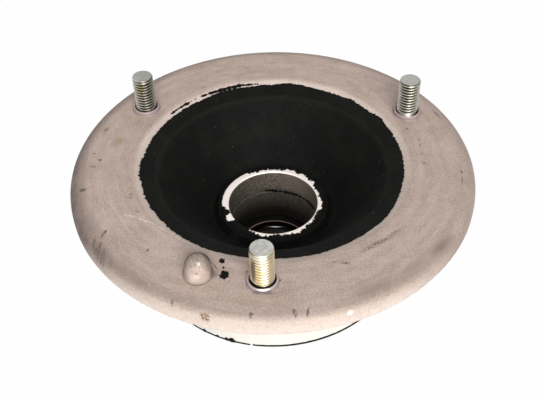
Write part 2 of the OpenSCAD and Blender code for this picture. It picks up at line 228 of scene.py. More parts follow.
class SleeveSettings(PropertyGroup):
    """The inner sleeve's finish."""

    rim: colour("Rim", "Bare metal on the rim", "#FFF6F0")
    wall: colour("Wall", "Cast wall of the bore", "#867B70")
    foot: colour("Foot", "Cleaner metal of the cup", "#B9AFA8")
    # Darker lower bore, partly the wall's own tone and partly painted shade, and the nearly black painted
    # shade at its lower end.
    stain_and_shade: colour("Stain", "Darker film in the lower bore", "#47423A")
    depth: colour("Depth", "Nearly black film at the lower end of the bore", "#1B1915")
    rim_drop: length("Rim drop", "Depth of the rim below the flange's face", 21.5)
    rim_radius: length("Rim radius", "Outer radius of the rim", 20.2)
    bore: length("Bore radius", "Radius of the bore at the rim", 17.2)
    edge: length("Edge round", "Radius of the rim's two edges", 0.6)
    step_drop: length("Step drop", "Depth of the small step in the bore", 32)


class BearingSettings(PropertyGroup):
    """Finishes of the sealed ball bearing and its snap ring."""

    steel: colour("Bearing steel", "Ground faces of the rings", "#C6C8CB")
    cage: colour("Cage", "Pressed sheet of the cage", "#B4AB97")
    seal: colour("Seal", "Black of the seals", "#0B0B0B")
    grease: colour("Grease", "Steel under dark grease", "#1A1816")
    # Painted highlight on the inner ring's edges.
    edge_highlight: colour("Rubbed edge", "Bright edges of the inner ring", "#A98F86")
    land: length("Land radius", "Outer radius of the inner ring", 14.4)
    snap: colour("Snap ring", "Oiled spring steel", "#3A3A3C")


class MountSettings(PropertyGroup):
    """Everything that a user would change."""

    stage: PointerProperty(type=StageSettings)
    casting: PointerProperty(type=CastingSettings)
    rubber: PointerProperty(type=RubberSettings)
    studs: PointerProperty(type=StudSettings)
    sleeve: PointerProperty(type=SleeveSettings)
    bearing: PointerProperty(type=BearingSettings)


def add_node(tree, kind, inputs=None, out=0, **settings):
    """Adds one node and returns its output of that name or number, or all of them where that is None.
    Inputs are values or other nodes' outputs, by the socket's name or number."""
    node = tree.nodes.new(kind)
    for name, value in settings.items():
        setattr(node, name, value)
    for key, value in (inputs or {}).items():
        if isinstance(value, bpy.types.NodeSocket):
            tree.links.new(value, node.inputs[key])
        else:
            node.inputs[key].default_value = value
    return node.outputs if out is None else node.outputs[out]


def start_finish(name, sockets, grains):
    """A new material whose given sockets are the same all over. Returns it, a function that adds a node
    to it, and what its nodes read at each place, in millimetres of the part's own frame: mm, x, y, z,
    the reach from the axis, and a noise for each name in grains, from its size (mm) and detail."""
    material = bpy.data.materials.new(name)
    material.use_nodes = True
    for socket, value in sockets.items():
        material.node_tree.nodes[SHADER].inputs[socket].default_value = value
    add = partial(add_node, material.node_tree)
    place = add("ShaderNodeTexCoord", out="Object")
    mm = add(VECTOR, {0: place, "Scale": 1 / MM}, operation="SCALE")
    x, y, z = add("ShaderNodeSeparateXYZ", {0: mm}, out=None)
    flat = add(VECTOR, {0: mm, 1: (1, 1, 0)}, operation="MULTIPLY")
    reach = add(VECTOR, {0: flat}, out="Value", operation="LENGTH")
    noises = {
        grain: add(NOISE, {"Vector": mm, "Scale": 1 / size, "Detail": detail})
        for grain, (size, detail) in grains.items()
    }
    return material, add, SimpleNamespace(mm=mm, x=x, y=y, z=z, reach=reach, **noises)


def end_finish(material, outputs):
    """Links nodes' outputs to the sockets of the material's shader."""
    tree = material.node_tree
    for socket, output in outputs.items():
        tree.links.new(output, tree.nodes[SHADER].inputs[socket])
    return material


def combine(add, operation, covers):
    """Several covers as one: MULTIPLY gives what they share, MAXIMUM the strongest and ADD the sum."""
    whole = covers[0]
    for cover in covers[1:]:
        whole = add(MATH, {0: whole, 1: cover}, operation=operation)
    return whole


def paint(add, base, layers):
    """Lays colours over a base one after another, each through its own cover."""
    for cover, tone in layers:
        base = add(MIX, {0: cover, MIX_A: base, MIX_B: tone}, out=MIX_OUT, data_type="RGBA")
    return base


def blot(add, at, place, turn, size):
    """A soft spot: 1 at its place (mm), falling to 0 at its three half sizes, turned about Z."""
    spot = add(
        "ShaderNodeMapping",
        {"Vector": at.mm, "Location": place, "Rotation": (0, 0, math.radians(turn)), "Scale": size},
        vector_type="TEXTURE",
    )
    return add("ShaderNodeTexGradient", {0: spot}, out="Fac", gradient_type="SPHERICAL")


def spots(add, at, look, marks, origin, full):
    """Layers for small marks: kind, place from the origin, half sizes (mm) and strength. A mark has its
    whole strength from where its spot reaches the full value."""
    layers = []
    for kind, place, size, strength in marks:
        spot = blot(add, at, Vector(origin) + Vector(place), 0, size)
        cover = add(RANGE, {0: spot, 2: full, 4: strength})
        layers.append((cover, getattr(look, kind)))
    return layers


def polar(radius, degrees):
    """A point of the flange's plane, from its radius and angle."""
    turn = math.radians(degrees)
    return radius * math.cos(turn), radius * math.sin(turn), 0.0


def dress(node, material):
    """Gives a carried-over solid its finish."""
    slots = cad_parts[node].data.materials
    slots.clear()
    slots.append(material)


def link(obj):
    """Puts a new object into the scene."""
    bpy.context.scene.collection.objects.link(obj)
    return obj


def grid_faces(rows, columns, closed):
    """Faces of a grid of points whose columns run round, and whose rows do too where it is closed."""
    i = np.arange(rows if closed else rows - 1)[:, None]
    j = np.arange(columns)[None, :]
    below = (i + 1) % rows
    beside = (j + 1) % columns
    corners = [i * columns + j, i * columns + beside, below * columns + beside, below * columns + j]
    return np.stack(corners, axis=-1).reshape(-1, 4)


def grid_mesh(name, rows, angles, closed, attributes=None):
    """A mesh turned about Z from rows of radii and heights (mm), one value for each angle. A closed
    one joins its last row to its first; an open one begins and ends on the axis."""
    n = len(angles)
    radii = np.array([np.broadcast_to(r, n) for r, z in rows])
    heights = np.array([np.broadcast_to(z, n) for r, z in rows])
    points = np.stack([radii * np.cos(angles), radii * np.sin(angles), heights], axis=-1)
    return tidy_mesh(name, points.reshape(-1, 3), grid_faces(len(rows), n, closed), attributes)


def tidy_mesh(name, points, faces, attributes=None):
    """A smooth mesh (points in mm) with its doubles merged and its faces turned outwards. Attributes
    give one number for each point."""
    mesh = bpy.data.meshes.new(name)
    mesh.from_pydata((np.asarray(points) * MM).tolist(), [], np.asarray(faces).tolist())
    for label, values in (attributes or {}).items():
        mesh.attributes.new(label, "FLOAT", "POINT").data.foreach_set("value", values)
    bm = bmesh.new()
    bm.from_mesh(mesh)
    bmesh.ops.remove_doubles(bm, verts=bm.verts, dist=MERGE_MM * MM)
    bmesh.ops.recalc_face_normals(bm, faces=bm.faces)
    for face in bm.faces:
        face.smooth = True
    bm.to_mesh(mesh)
    bm.free()
    return mesh


def node_tree(name, inputs):
    """An empty Geometry Nodes tree with its named inputs; returns the tree, a function that adds a node
    to it, the inputs' identifiers and their outputs in the tree."""
    tree = bpy.data.node_groups.new(name, "GeometryNodeTree")
    tree.interface.new_socket("Geometry", in_out="OUTPUT", socket_type="NodeSocketGeometry")
    tree.interface.new_socket("Geometry", in_out="INPUT", socket_type="NodeSocketGeometry")
    keys = {}
    for label, kind in inputs.items():
        keys[label] = tree.interface.new_socket(label, in_out="INPUT", socket_type=kind).identifier
    add = partial(add_node, tree)
    return tree, add, keys, add("NodeGroupInput", out=None)


def end_tree(add, instances, finish):
    """Ends a Geometry Nodes tree: real meshes instead of instances, in their material."""
    solid = add("GeometryNodeRealizeInstances", {"Geometry": instances})
    solid = add("GeometryNodeSetMaterial", {"Geometry": solid, "Material": finish})
    add("NodeGroupOutput", {"Geometry": solid}, out=None)


def grow(obj, tree, keys, values):
    """Runs a Geometry Nodes tree on an object and keeps the result as its plain mesh."""
    modifier = obj.modifiers.new(tree.name, "NODES")
    modifier.node_group = tree
    for label, value in values.items():
        modifier[keys[label]] = value
    graph = bpy.context.evaluated_depsgraph_get()
    mesh = bpy.data.meshes.new_from_object(obj.evaluated_get(graph), depsgraph=graph)
    if not mesh.polygons:
        raise RuntimeError(f"{tree.name} made no faces on {obj.name}")
    obj.modifiers.clear()
    obj.data = mesh


# Marks on the casting: kind, radius and angle on the flange, half length, half width (mm), turn of
# the long side from the radius (degrees) and strength.
MARKS = (
    ("moss", 60.1, 171.7, 5.0, 3.0, 70, 1.1),
    ("rust", 67.4, 166.4, 2.2, 1.2, 80, 1.2),
    ("soot_and_shade", 64.4, -178.2, 0.9, 0.8, 0, 2.4),
    ("soot_and_shade", 69.7, -164.6, 1.5, 1.2, 0, 2.4),
    ("soot_and_shade", 61.2, -129.6, 0.9, 0.7, 0, 2.4),
    ("smear", 73.0, -139.2, 8.0, 3.2, 88, 1.0),
    ("soot_and_shade", 72.5, -143.3, 3.0, 0.7, 50, 1.5),
    ("soot_and_shade", 73.7, -140.9, 1.2, 0.8, 49, 2.0),
    ("soot_and_shade", 73.4, -139.8, 2.6, 0.8, 50, 2.0),
    ("soot_and_shade", 71.6, -141.0, 1.8, 0.7, 51, 1.5),
    ("soot_and_shade", 74.1, -137.8, 2.4, 0.7, 50, 1.5),
    ("soot_and_shade", 73.2, -137.2, 4.0, 0.7, 49, 1.5),
    ("smear", 72.9, -134.4, 2.6, 1.4, 60, 0.9),
    ("soot_and_shade", 67.7, -144.5, 1.2, 0.8, 45, 2.2),
    ("soot_and_shade", 69.3, -143.5, 1.6, 0.6, 32, 1.5),
    ("soot_and_shade", 56.0, -48.0, 10.0, 1.4, 84, 1.05),
    ("soot_and_shade", 57.3, -62.6, 2.6, 0.8, 60, 1.4),
    ("soot_and_shade", 55.6, -65.4, 2.0, 0.7, 60, 0.6),
    ("soot_and_shade", 56.5, -40.5, 5.0, 1.0, 80, 0.9),
    ("soot_and_shade", 69.4, -4.0, 1.0, 0.6, 88, 1.9),
    ("soot_and_shade", 69.5, -7.7, 4.2, 0.5, 93, 1.0),
    # Long soft smears along the start of the front rim: partly dirt and partly painted shade.
    ("smear", 72.0, -36.0, 10.5, 2.6, 85, 1.15),
    ("smear", 71.3, -45.5, 12.0, 3.0, 90, 0.7),
    ("smear", 70.6, -59.0, 12.0, 3.0, 90, 0.6),
    ("soot_and_shade", 69.7, 24.8, 4.2, 0.6, 93, 1.4),
    ("soot_and_shade", 54.8, 21.1, 0.8, 0.6, 30, 2.2),
    ("soot_and_shade", 56.7, 13.4, 0.7, 0.5, 100, 1.5),
    ("soot_and_shade", 56.2, 10.2, 1.0, 0.5, 92, 1.0),
    ("soot_and_shade", 55.8, 5.3, 1.1, 0.5, 44, 1.2),
    ("soot_and_shade", 56.2, -0.5, 1.8, 0.6, 129, 1.3),
    ("smear", 55.7, 26.8, 2.6, 1.3, 101, 0.8),
    ("soot_and_shade", 67.2, 178.6, 0.7, 0.5, 0, 1.6),
    ("smear", 66.4, -175.0, 1.8, 1.3, 157, 0.9),
    ("soot_and_shade", 53.5, -157.7, 0.9, 0.5, 109, 1.4),
    ("soot_and_shade", 53.9, -155.8, 1.3, 0.5, 124, 1.3),
    ("smear", 54.1, -147.6, 1.9, 1.1, 99, 0.7),
    ("soot_and_shade", 74.0, 54.8, 0.7, 0.5, 0, 1.7),
    ("soot_and_shade", 64.6, 55.7, 0.6, 0.5, 0, 1.5),
    ("rust", 74.4, -103.6, 2.6, 0.9, 84, 1.8),
    ("soot_and_shade", 72.7, -92.3, 1.0, 0.9, 0, 2.4),
    ("soot_and_shade", 72.3, -81.5, 1.7, 0.8, 20, 2.3),
    ("soot_and_shade", 72.5, -78.3, 1.6, 0.6, -20, 2.0),
    ("white", 74.4, -68.0, 1.3, 0.5, 90, 2.2),
    ("soot_and_shade", 73.6, -112.6, 1.2, 0.8, 30, 1.3),
    ("soot_and_shade", 61.5, 103.7, 4.0, 1.0, 60, 0.4),
    ("chalk_and_highlight", 65.2, -107.0, 6.5, 0.35, -12, 0.45),
    ("chalk_and_highlight", 57.2, -146.9, 3.6, 0.5, 130, 1.6),
    ("chalk_and_highlight", 53.8, -141.6, 4.6, 0.5, 119, 1.6),
    ("chalk_and_highlight", 51.6, -134.8, 4.4, 0.5, 99, 1.6),
    ("chalk_and_highlight", 50.7, -127.4, 4.6, 0.5, 95, 1.6),
    ("chalk_and_highlight", 54.7, -132.0, 6.0, 0.5, 50, 0.4),
    ("chalk_and_highlight", 60.3, -126.8, 4.2, 0.5, 33, 0.4),
    ("chalk_and_highlight", 63.9, -125.3, 2.4, 0.5, -28, 0.5),
    ("chalk_and_highlight", 66.1, -128.9, 4.6, 0.5, 104, 0.5),
    ("chalk_and_highlight", 67.7, -134.2, 4.0, 0.5, 104, 0.5),
    ("chalk_and_highlight", 68.6, -139.1, 4.2, 0.5, 93, 0.5),
    ("soot_and_shade", 55.8, -106.8, 2.6, 0.4, 52, 1.8),
    ("soot_and_shade", 56.0, -95.6, 0.7, 0.5, 0, 2.0),
    ("soot_and_shade", 59.2, -84.6, 0.7, 0.5, 0, 2.0),
)
# Half height of a mark (mm), which reaches over the flange's rounded rim.
MARK_DEPTH = 8.5
# Grains of the casting's skin: size (mm) and detail. Blasting leaves pits of about 0.2 mm, which are
# drawn three times as coarse so that they show.
CASTING_GRAINS = {
    "clouds": (13.0, 3), "patches": (3.6, 3), "grit": (0.6, 3), "specks": (0.55, 3), "tints": (1.4, 3),
}
# Streaks of wiping follow the flange: they are long round it and narrow across it (mm).
WIPE_SCALE = (1 / 13.0, 1 / 13.0, 1 / 2.6)
# Weight of grit and of wiping in the skin's tone, beside its clouds.
GRIT_WEIGHT = 3.4
WIPE_WEIGHT = 1.6
# Height of the flange's underside, where the paler skirt begins, and the width of the change (mm). The
# skirt's pale colour is partly cleaner metal and partly painted light.
FLANGE_UNDER = -8.6
UNDER_BLEND = 0.6
# Radii between which the metal by the mouth turns paler, and the rim and its shoulder take painted shade
# (mm).
MOUTH_BAND_MM = (51.6, 50.4)
RIM_SHADE_MM = (67.5, 74.0)
SHOULDER_MM = (69.5, 72.5)
# Heights between which the shoulder's painted shade begins, and between which the rim below it takes painted
# light (mm).
SHOULDER_Z = (-3.0, -1.0)
RIM_LIGHT_Z = (-2.0, -6.0)
# Where the front rim's painted light and shade begin, where the rim's painted shade ends towards the front,
# and how it weakens to the right (mm).
NEAR_Y = (-40, -62)
BACK_Y = (-70, -38)
SIDE_X = (75, -75)
# Faint ring that a washer left on the flange: its radius, how far it wanders, and its half width (mm),
# and the middle and half size of its span.
RING_MM = 60.8
RING_WANDER = 2.5
RING_HALF_MM = 0.8
RING_SPAN = ((-52, -32, 0), (36, 36, MARK_DEPTH))
# Locating pin: radius and angle on the flange, and the middle and half sizes of what is painted on it.
PIN = (60.1, -110.6)
PIN_SPREAD = ((0, 0, 3.0), (5.7, 5.7, 9.0))
# Height at which the pin's speckled dome begins and is whole, and the specks' reach down its side (mm). The
# pin's lighter side is painted light; its greyer dome is partly its own grey and partly painted shade.
PIN_DOME_Z = (7.4, 10.6)
PIN_SPECKLE = 7.0
# Marks on the pin: kind, place from its foot and half size (mm), and strength.
PIN_MARKS = (
    # A painted highlight dot, then painted shade along the pin's upper right edge.
    ("chalk_and_highlight", (0.9, -2.4, 6.45), 0.7, 1.0),
    ("soot_and_shade", (3.6, 2.7, 4.4), 3.3, 1.0),
    ("film", (3.35, 1.9, 4.9), 1.5, 0.9),
    ("film", (2.65, 2.3, 5.5), 1.5, 1.0),
    ("film", (1.8, 2.6, 5.85), 1.1, 0.7),
    # A painted highlight low on the front, and painted shade by the right side of the foot.
    ("chalk_and_highlight", (-1.3, -4.4, 1.8), 2.2, 0.5),
    ("soot_and_shade", (4.55, -0.65, 0.6), 2.4, 0.6),
    # A short dark line, and a painted highlight below it.
    ("soot_and_shade", (0.25, -4.35, 3.85), 0.7, 0.5),
    ("chalk_and_highlight", (0.3, -4.5, 2.5), 1.5, 0.6),
)
# A collar's middle above the flange, its half sizes, and where its burnished top begins (mm).
COLLAR_MIDDLE = (0, 0, 1.2)
COLLAR_SPREAD = (6.3, 6.3, 2.2)
COLLAR_TOP_Z = (0.7, 1.4)
# Marks on the front collar, painted shade on its lower side and a painted highlight on its top: kind, middle
# and half sizes (mm), and strength.
COLLAR_MARKS = (
    ("soot_and_shade", (0.5, -64.5, 0.4), (5.0, 0.9, 1.0), 0.8),
    ("white", (1.2, -64.7, 1.9), (3.4, 1.0, 1.0), 0.9),
)
# Thin line of painted shade round the foot of the pin: its middle from the pin's, and its reach (mm). The
# reach of the same line round a collar.
PIN_SEAT = ((0, -0.6, 0), (5.2, 5.6, 9.0))
SEAT_SPREAD = (5.7, 5.7, 9.0)


def casting_skin(add, at, look):
    """Layers of the blasted skin: grit, clouds and wiping, the paler mouth, painted shade on the rim and on
    the front rim's shoulder, painted light on the front rim below that, and the paler skirt, partly cleaner
    metal and partly painted light."""
    streaks = add("ShaderNodeCombineXYZ", {0: at.x, 1: at.y, 2: at.reach})
    streaks = add(VECTOR, {0: streaks, 1: WIPE_SCALE}, operation="MULTIPLY")
    wiped = add(NOISE, {"Vector": streaks, "Scale": 1, "Detail": 4})
    broad = combine(add, "ADD", [at.clouds, at.patches])
    tone = add(MATH, {0: at.grit, 1: GRIT_WEIGHT, 2: broad}, operation="MULTIPLY_ADD")
    tone = add(MATH, {0: wiped, 1: WIPE_WEIGHT, 2: tone}, operation="MULTIPLY_ADD")
    tone = add(RANGE, {0: tone, 1: 2.7, 2: 4.3})
    tint = add(RANGE, {0: at.tints, 1: 0.5, 2: 0.75, 4: 0.4})
    band = add(RANGE, {0: at.reach, 1: MOUTH_BAND_MM[0], 2: MOUTH_BAND_MM[1], 4: 0.5})
    uneven = add(RANGE, {0: at.patches, 1: LOW, 2: HIGH, 3: 0.8, 4: 1.2})
    # Painted shade on the rim: darker towards the back and the left, where the rounded rim turns away from
    # the lamps.
    back = add(RANGE, {0: at.y, 1: BACK_Y[0], 2: BACK_Y[1]})
    side = add(RANGE, {0: at.x, 1: SIDE_X[0], 2: SIDE_X[1], 3: 0.4, 4: 1.0})
    rim = add(RANGE, {0: at.reach, 1: RIM_SHADE_MM[0], 2: RIM_SHADE_MM[1], 4: 0.85})
    painted_shade = combine(add, "MULTIPLY", [back, side, uneven, rim])
    near = add(RANGE, {0: at.y, 1: NEAR_Y[0], 2: NEAR_Y[1]})
    # Painted shade on the front rim's shoulder, where the flat turns down into the rim.
    edge = add(RANGE, {0: at.reach, 1: SHOULDER_MM[0], 2: SHOULDER_MM[1], 4: 0.5})
    above = add(RANGE, {0: at.z, 1: SHOULDER_Z[0], 2: SHOULDER_Z[1]})
    shoulder_shade = combine(add, "MULTIPLY", [edge, above, near, uneven])
    # Painted light on the front rim below its shoulder, in the pale chalk colour.
    below = add(RANGE, {0: at.z, 1: RIM_LIGHT_Z[0], 2: RIM_LIGHT_Z[1], 4: 0.8})
    speckled = add(RANGE, {0: at.tints, 1: 0.35, 2: 0.6, 3: 0.75, 4: 1.15})
    rim_light = combine(add, "MULTIPLY", [below, near, speckled])
    # The paler skirt: partly cleaner metal and partly painted light.
    under = add(RANGE, {0: at.z, 1: FLANGE_UNDER + UNDER_BLEND, 2: FLANGE_UNDER - UNDER_BLEND})
    clean_and_lit = add(RANGE, {0: broad, 1: 0.7, 2: 1.1, 3: 0.8, 4: 1})
    skirt = combine(add, "MULTIPLY", [under, clean_and_lit])
    return [
        (tone, look.light), (tint, look.olive), (band, look.chalk_and_highlight), (painted_shade, look.painted_shade),
        (shoulder_shade, look.painted_shade), (rim_light, look.chalk_and_highlight), (skirt, look.skirt),
    ]


def washer_ring(add, at):
    """Cover of the faint ring that a washer left."""
    away = add(MATH, {0: at.clouds, 1: RING_WANDER, 2: at.reach}, operation="MULTIPLY_ADD")
    away = add(MATH, {0: away, 1: RING_MM + RING_WANDER / 2}, operation="SUBTRACT")
    away = add(MATH, {0: away}, operation="ABSOLUTE")
    line = add(RANGE, {0: away, 1: RING_HALF_MM, 2: 0.1, 4: 0.5})
    return combine(add, "MULTIPLY", [line, blot(add, at, RING_SPAN[0], 0, RING_SPAN[1])])


def handling_marks(add, at, look):
    """Layers of the marks on the flange. Smears are soft, and all other marks are broken up by specks."""
    stains = {}
    for kind, radius, turn, long, wide, lean, strength in MARKS:
        spot = blot(add, at, polar(radius, turn), turn + lean, (long, wide, MARK_DEPTH))
        spot = add(MATH, {0: spot, 1: strength}, operation="MULTIPLY")
        stains.setdefault(kind, []).append(spot)
    stains["chalk_and_highlight"].append(washer_ring(add, at))
    torn = add(RANGE, {0: at.specks, 1: 0.42, 2: 0.64, 3: 0.25, 4: 1.5})
    faint = add(RANGE, {0: at.grit, 1: LOW, 2: HIGH, 3: 0.6, 4: 1.2})
    layers = []
    for kind, marks in stains.items():
        grain, most = (faint, 0.8) if kind == "smear" else (torn, 1)
        cover = combine(add, "MULTIPLY", [combine(add, "MAXIMUM", marks), grain])
        cover = add(RANGE, {0: cover, 1: 0.06, 4: most})
        layers.append((cover, getattr(look, kind)))
    return layers


def pin_finish(add, at, look):
    """Layers of the locating pin: a side with painted light, a speckled grey dome with painted shade,
    painted shade at its foot, and its marks.
    """
    origin = Vector(polar(*PIN))
    pin = blot(add, at, origin + Vector(PIN_SPREAD[0]), 0, PIN_SPREAD[1])
    pin = add(RANGE, {0: pin, 1: 0.02, 2: 0.12})
    dome = add(MATH, {0: at.specks, 1: PIN_SPECKLE, 2: at.z}, operation="MULTIPLY_ADD")
    dome = add(RANGE, {0: dome, 1: PIN_DOME_Z[0], 2: PIN_DOME_Z[1]})
    tone = paint(add, look.pin_lit_side, [(dome, look.pin_dome_and_shade)])
    # Painted shade round the pin's foot.
    foot = add(RANGE, {0: at.z, 1: 0.7, 2: 0.1, 4: 0.5})
    foot = combine(add, "MULTIPLY", [foot, pin])
    pores = add(RANGE, {0: at.grit, 1: 0.45, 2: 0.62, 4: 0.5})
    pores = combine(add, "MULTIPLY", [pores, dome, pin])
    marks = [(kind, place, (size,) * 3, strength) for kind, place, size, strength in PIN_MARKS]
    layers = [(pin, tone), (foot, look.soot_and_shade), (pores, look.soot_and_shade)]
    return layers + spots(add, at, look, marks, origin, full=0.6)


def collar_finish(add, at, look, studs):
    """Layers of the studs' collars, the thin line of painted shade round them and the pin, and the front
    collar's painted shade and painted highlight; and the cover of the collars' burnished tops."""
    seats = [blot(add, at, Vector(polar(*PIN)) + Vector(PIN_SEAT[0]), 0, PIN_SEAT[1])]
    collars = []
    for k in range(studs.count):
        middle = Vector(polar(studs.circle / MM, math.degrees(studs.first) + k * 360 / studs.count))
        collars.append(blot(add, at, middle + Vector(COLLAR_MIDDLE), 0, COLLAR_SPREAD))
        seats.append(blot(add, at, middle, 0, SEAT_SPREAD))
    # Painted shade in a thin line round the foot of the pin and of each collar.
    seat = combine(add, "MAXIMUM", seats)
    outer = add(RANGE, {0: seat, 2: 0.05})
    inner = add(RANGE, {0: seat, 1: 0.16, 2: 0.1, 4: 0.55})
    seat = combine(add, "MULTIPLY", [outer, inner])
    collar = add(RANGE, {0: combine(add, "MAXIMUM", collars), 2: 0.06})
    front = add(RANGE, {0: at.y, 1: 0, 2: -40, 3: 0.5, 4: 1})
    collar = combine(add, "MULTIPLY", [collar, front])
    top = add(RANGE, {0: at.z, 1: COLLAR_TOP_Z[0], 2: COLLAR_TOP_Z[1]})
    burnished = combine(add, "MULTIPLY", [collar, top])
    layers = [(seat, look.painted_shade), (collar, look.collar_side), (burnished, look.collar)]
    return layers + spots(add, at, look, COLLAR_MARKS, (0, 0, 0), full=0.5), burnished


def blasted_cast_aluminium(look, studs):
    """Sand-cast aluminium, shot-blasted: a dry, warm grey skin with fine grit and faint clouds, painted
    shade on the rim and painted light low on its front, a paler skirt that is partly painted light, the
    smears, scratches and stains of handling, a pin with painted light and shade, and burnished collars, the
    front one with painted shade and a painted highlight."""
    material, add, at = start_finish("blasted_cast_aluminium", {"Specular IOR Level": 0.3}, CASTING_GRAINS)
    collars, burnished = collar_finish(add, at, look, studs)
    layers = casting_skin(add, at, look) + handling_marks(add, at, look) + pin_finish(add, at, look)
    skin = paint(add, look.dark, layers + collars)
    metal = add(RANGE, {0: burnished, 3: 0.15, 4: 0.45})
    rough = add(RANGE, {0: at.grit, 1: LOW, 2: HIGH, 3: 0.52, 4: 0.68})
    worn = add(RANGE, {0: burnished, 3: 1, 4: 0.8})
    rough = combine(add, "MULTIPLY", [rough, worn])
    relief = add(MATH, {0: at.patches, 1: 1.5, 2: at.grit}, operation="MULTIPLY_ADD")
    bump = add(BUMP, {"Height": relief, "Strength": 0.5, "Distance": 0.12 * MM})
    return end_finish(
        material, {"Base Color": skin, "Metallic": metal, "Roughness": rough, "Normal": bump}
    )


# Grains of the rubber: size (mm) and detail. The mould's own grain is about 0.1 mm, drawn coarser so
# that it shows.
RUBBER_GRAINS = {"bloom": (9.0, 5), "grain": (0.7, 3)}
# Half width of the paler ring where the rubber's slope changes, a painted sheen (mm).
BEND_RING_MM = 1.3
# Greyer fold by the sleeve: its middle (mm), turn (degrees) and half sizes (mm).
FOLD = ((-14.0, -18.0, -25.0), 40, (5.0, 3.2, 4.0))


def moulded_rubber(look):
    """Natural rubber, moulded and bonded: a dull black with a faint grey bloom, a fine grain and a slightly
    paler ring of painted sheen where its slope changes."""
    material, add, at = start_finish("moulded_rubber", {"Specular IOR Level": 0.09}, RUBBER_GRAINS)
    away = add(MATH, {0: at.reach, 1: look.bend / MM}, operation="SUBTRACT")
    away = add(MATH, {0: away}, operation="ABSOLUTE")
    # Painted sheen along the bend, in the bloom's grey.
    ring = add(RANGE, {0: away, 1: BEND_RING_MM, 2: 0, 4: 0.7})
    cloud = add(RANGE, {0: at.bloom, 1: 0.42, 2: 0.75, 4: 0.6})
    fold = add(RANGE, {0: blot(add, at, *FOLD), 1: 0.1, 2: 0.3, 4: 0.7})
    cover = combine(add, "ADD", [cloud, ring, fold])
    black = paint(add, look.tone, [(cover, look.bloom)])
    rough = add(RANGE, {0: at.grain, 1: LOW, 2: HIGH, 3: 0.62, 4: 0.82})
    relief = add(MATH, {0: at.bloom, 1: 3, 2: at.grain}, operation="MULTIPLY_ADD")
    bump = add(BUMP, {"Height": relief, "Strength": 0.4, "Distance": 0.08 * MM})
    return end_finish(material, {"Base Color": black, "Roughness": rough, "Normal": bump})


# Grain of the lint: size (mm) and detail.
LINT_GRAINS = {"fleck": (0.2, 2)}


def lint(look):
    """Grey lint and moulding dust: dull pale specks that keep the black from looking empty."""
    material, add, at = start_finish("lint", {"Roughness": 0.9, "Specular IOR Level": 0.2}, LINT_GRAINS)
    return end_finish(material, {"Base Color": paint(add, look.bloom, [(at.fleck, look.dust)])})


# Grains of the plating: size (mm) and detail. The cut-off's marks on the end face are finer than
# 0.1 mm, and are drawn coarser so that they show.
PLATING_GRAINS = {"cloud": (1.4, 4), "fine": (0.25, 2)}
# Streaks of plating colour on the front stud and one rear stud: kind, middle and half sizes (mm), and
# strength.
STREAKS = (
    # The darker olive on the front stud's left side is partly plating colour and partly painted shade.
    ("olive", (-4.8, -61.4, 9.0), (4.2, 4.6, 16.0), 0.7),
    ("tan", (3.5, -61.8, 8.0), (2.4, 2.8, 16.0), 0.7),
    ("brown", (-2.8, -62.6, 8.0), (1.4, 2.2, 7.5), 0.85),
    ("yellow", (-0.9, -63.5, 6.0), (1.7, 1.9, 9.0), 0.5),
    ("brown", (2.2, -63.0, 14.6), (1.6, 1.6, 1.6), 0.45),
    ("yellow", (-52.8, 26.2, 11.5), (2.6, 2.4, 3.0), 0.55),
)
# The sides of the front stud and the rear left one that are painted lighter, a painted highlight: middle and
# half sizes (mm).
BRIGHT_SIDE = ((0.3, -63.0, 8.0), (4.2, 4.0, 15.0))
REAR_LIGHT = ((-54.6, 27.4, 8.0), (4.2, 4.2, 16.0))
# Where the plating changes from the front stud's to the rear ones' (mm along y).
REAR_Y = (-40, 0)
# Depth of the end face's own plating (mm), where it starts and is whole.
END_MM = (0.12, 0.04)
# Darker neck in the collar's gap: its fade above and below the thread's start, and the heights where it
# begins (mm).
NECK_FADE = (0.3, -0.2)
NECK_Z = (-2, -1)


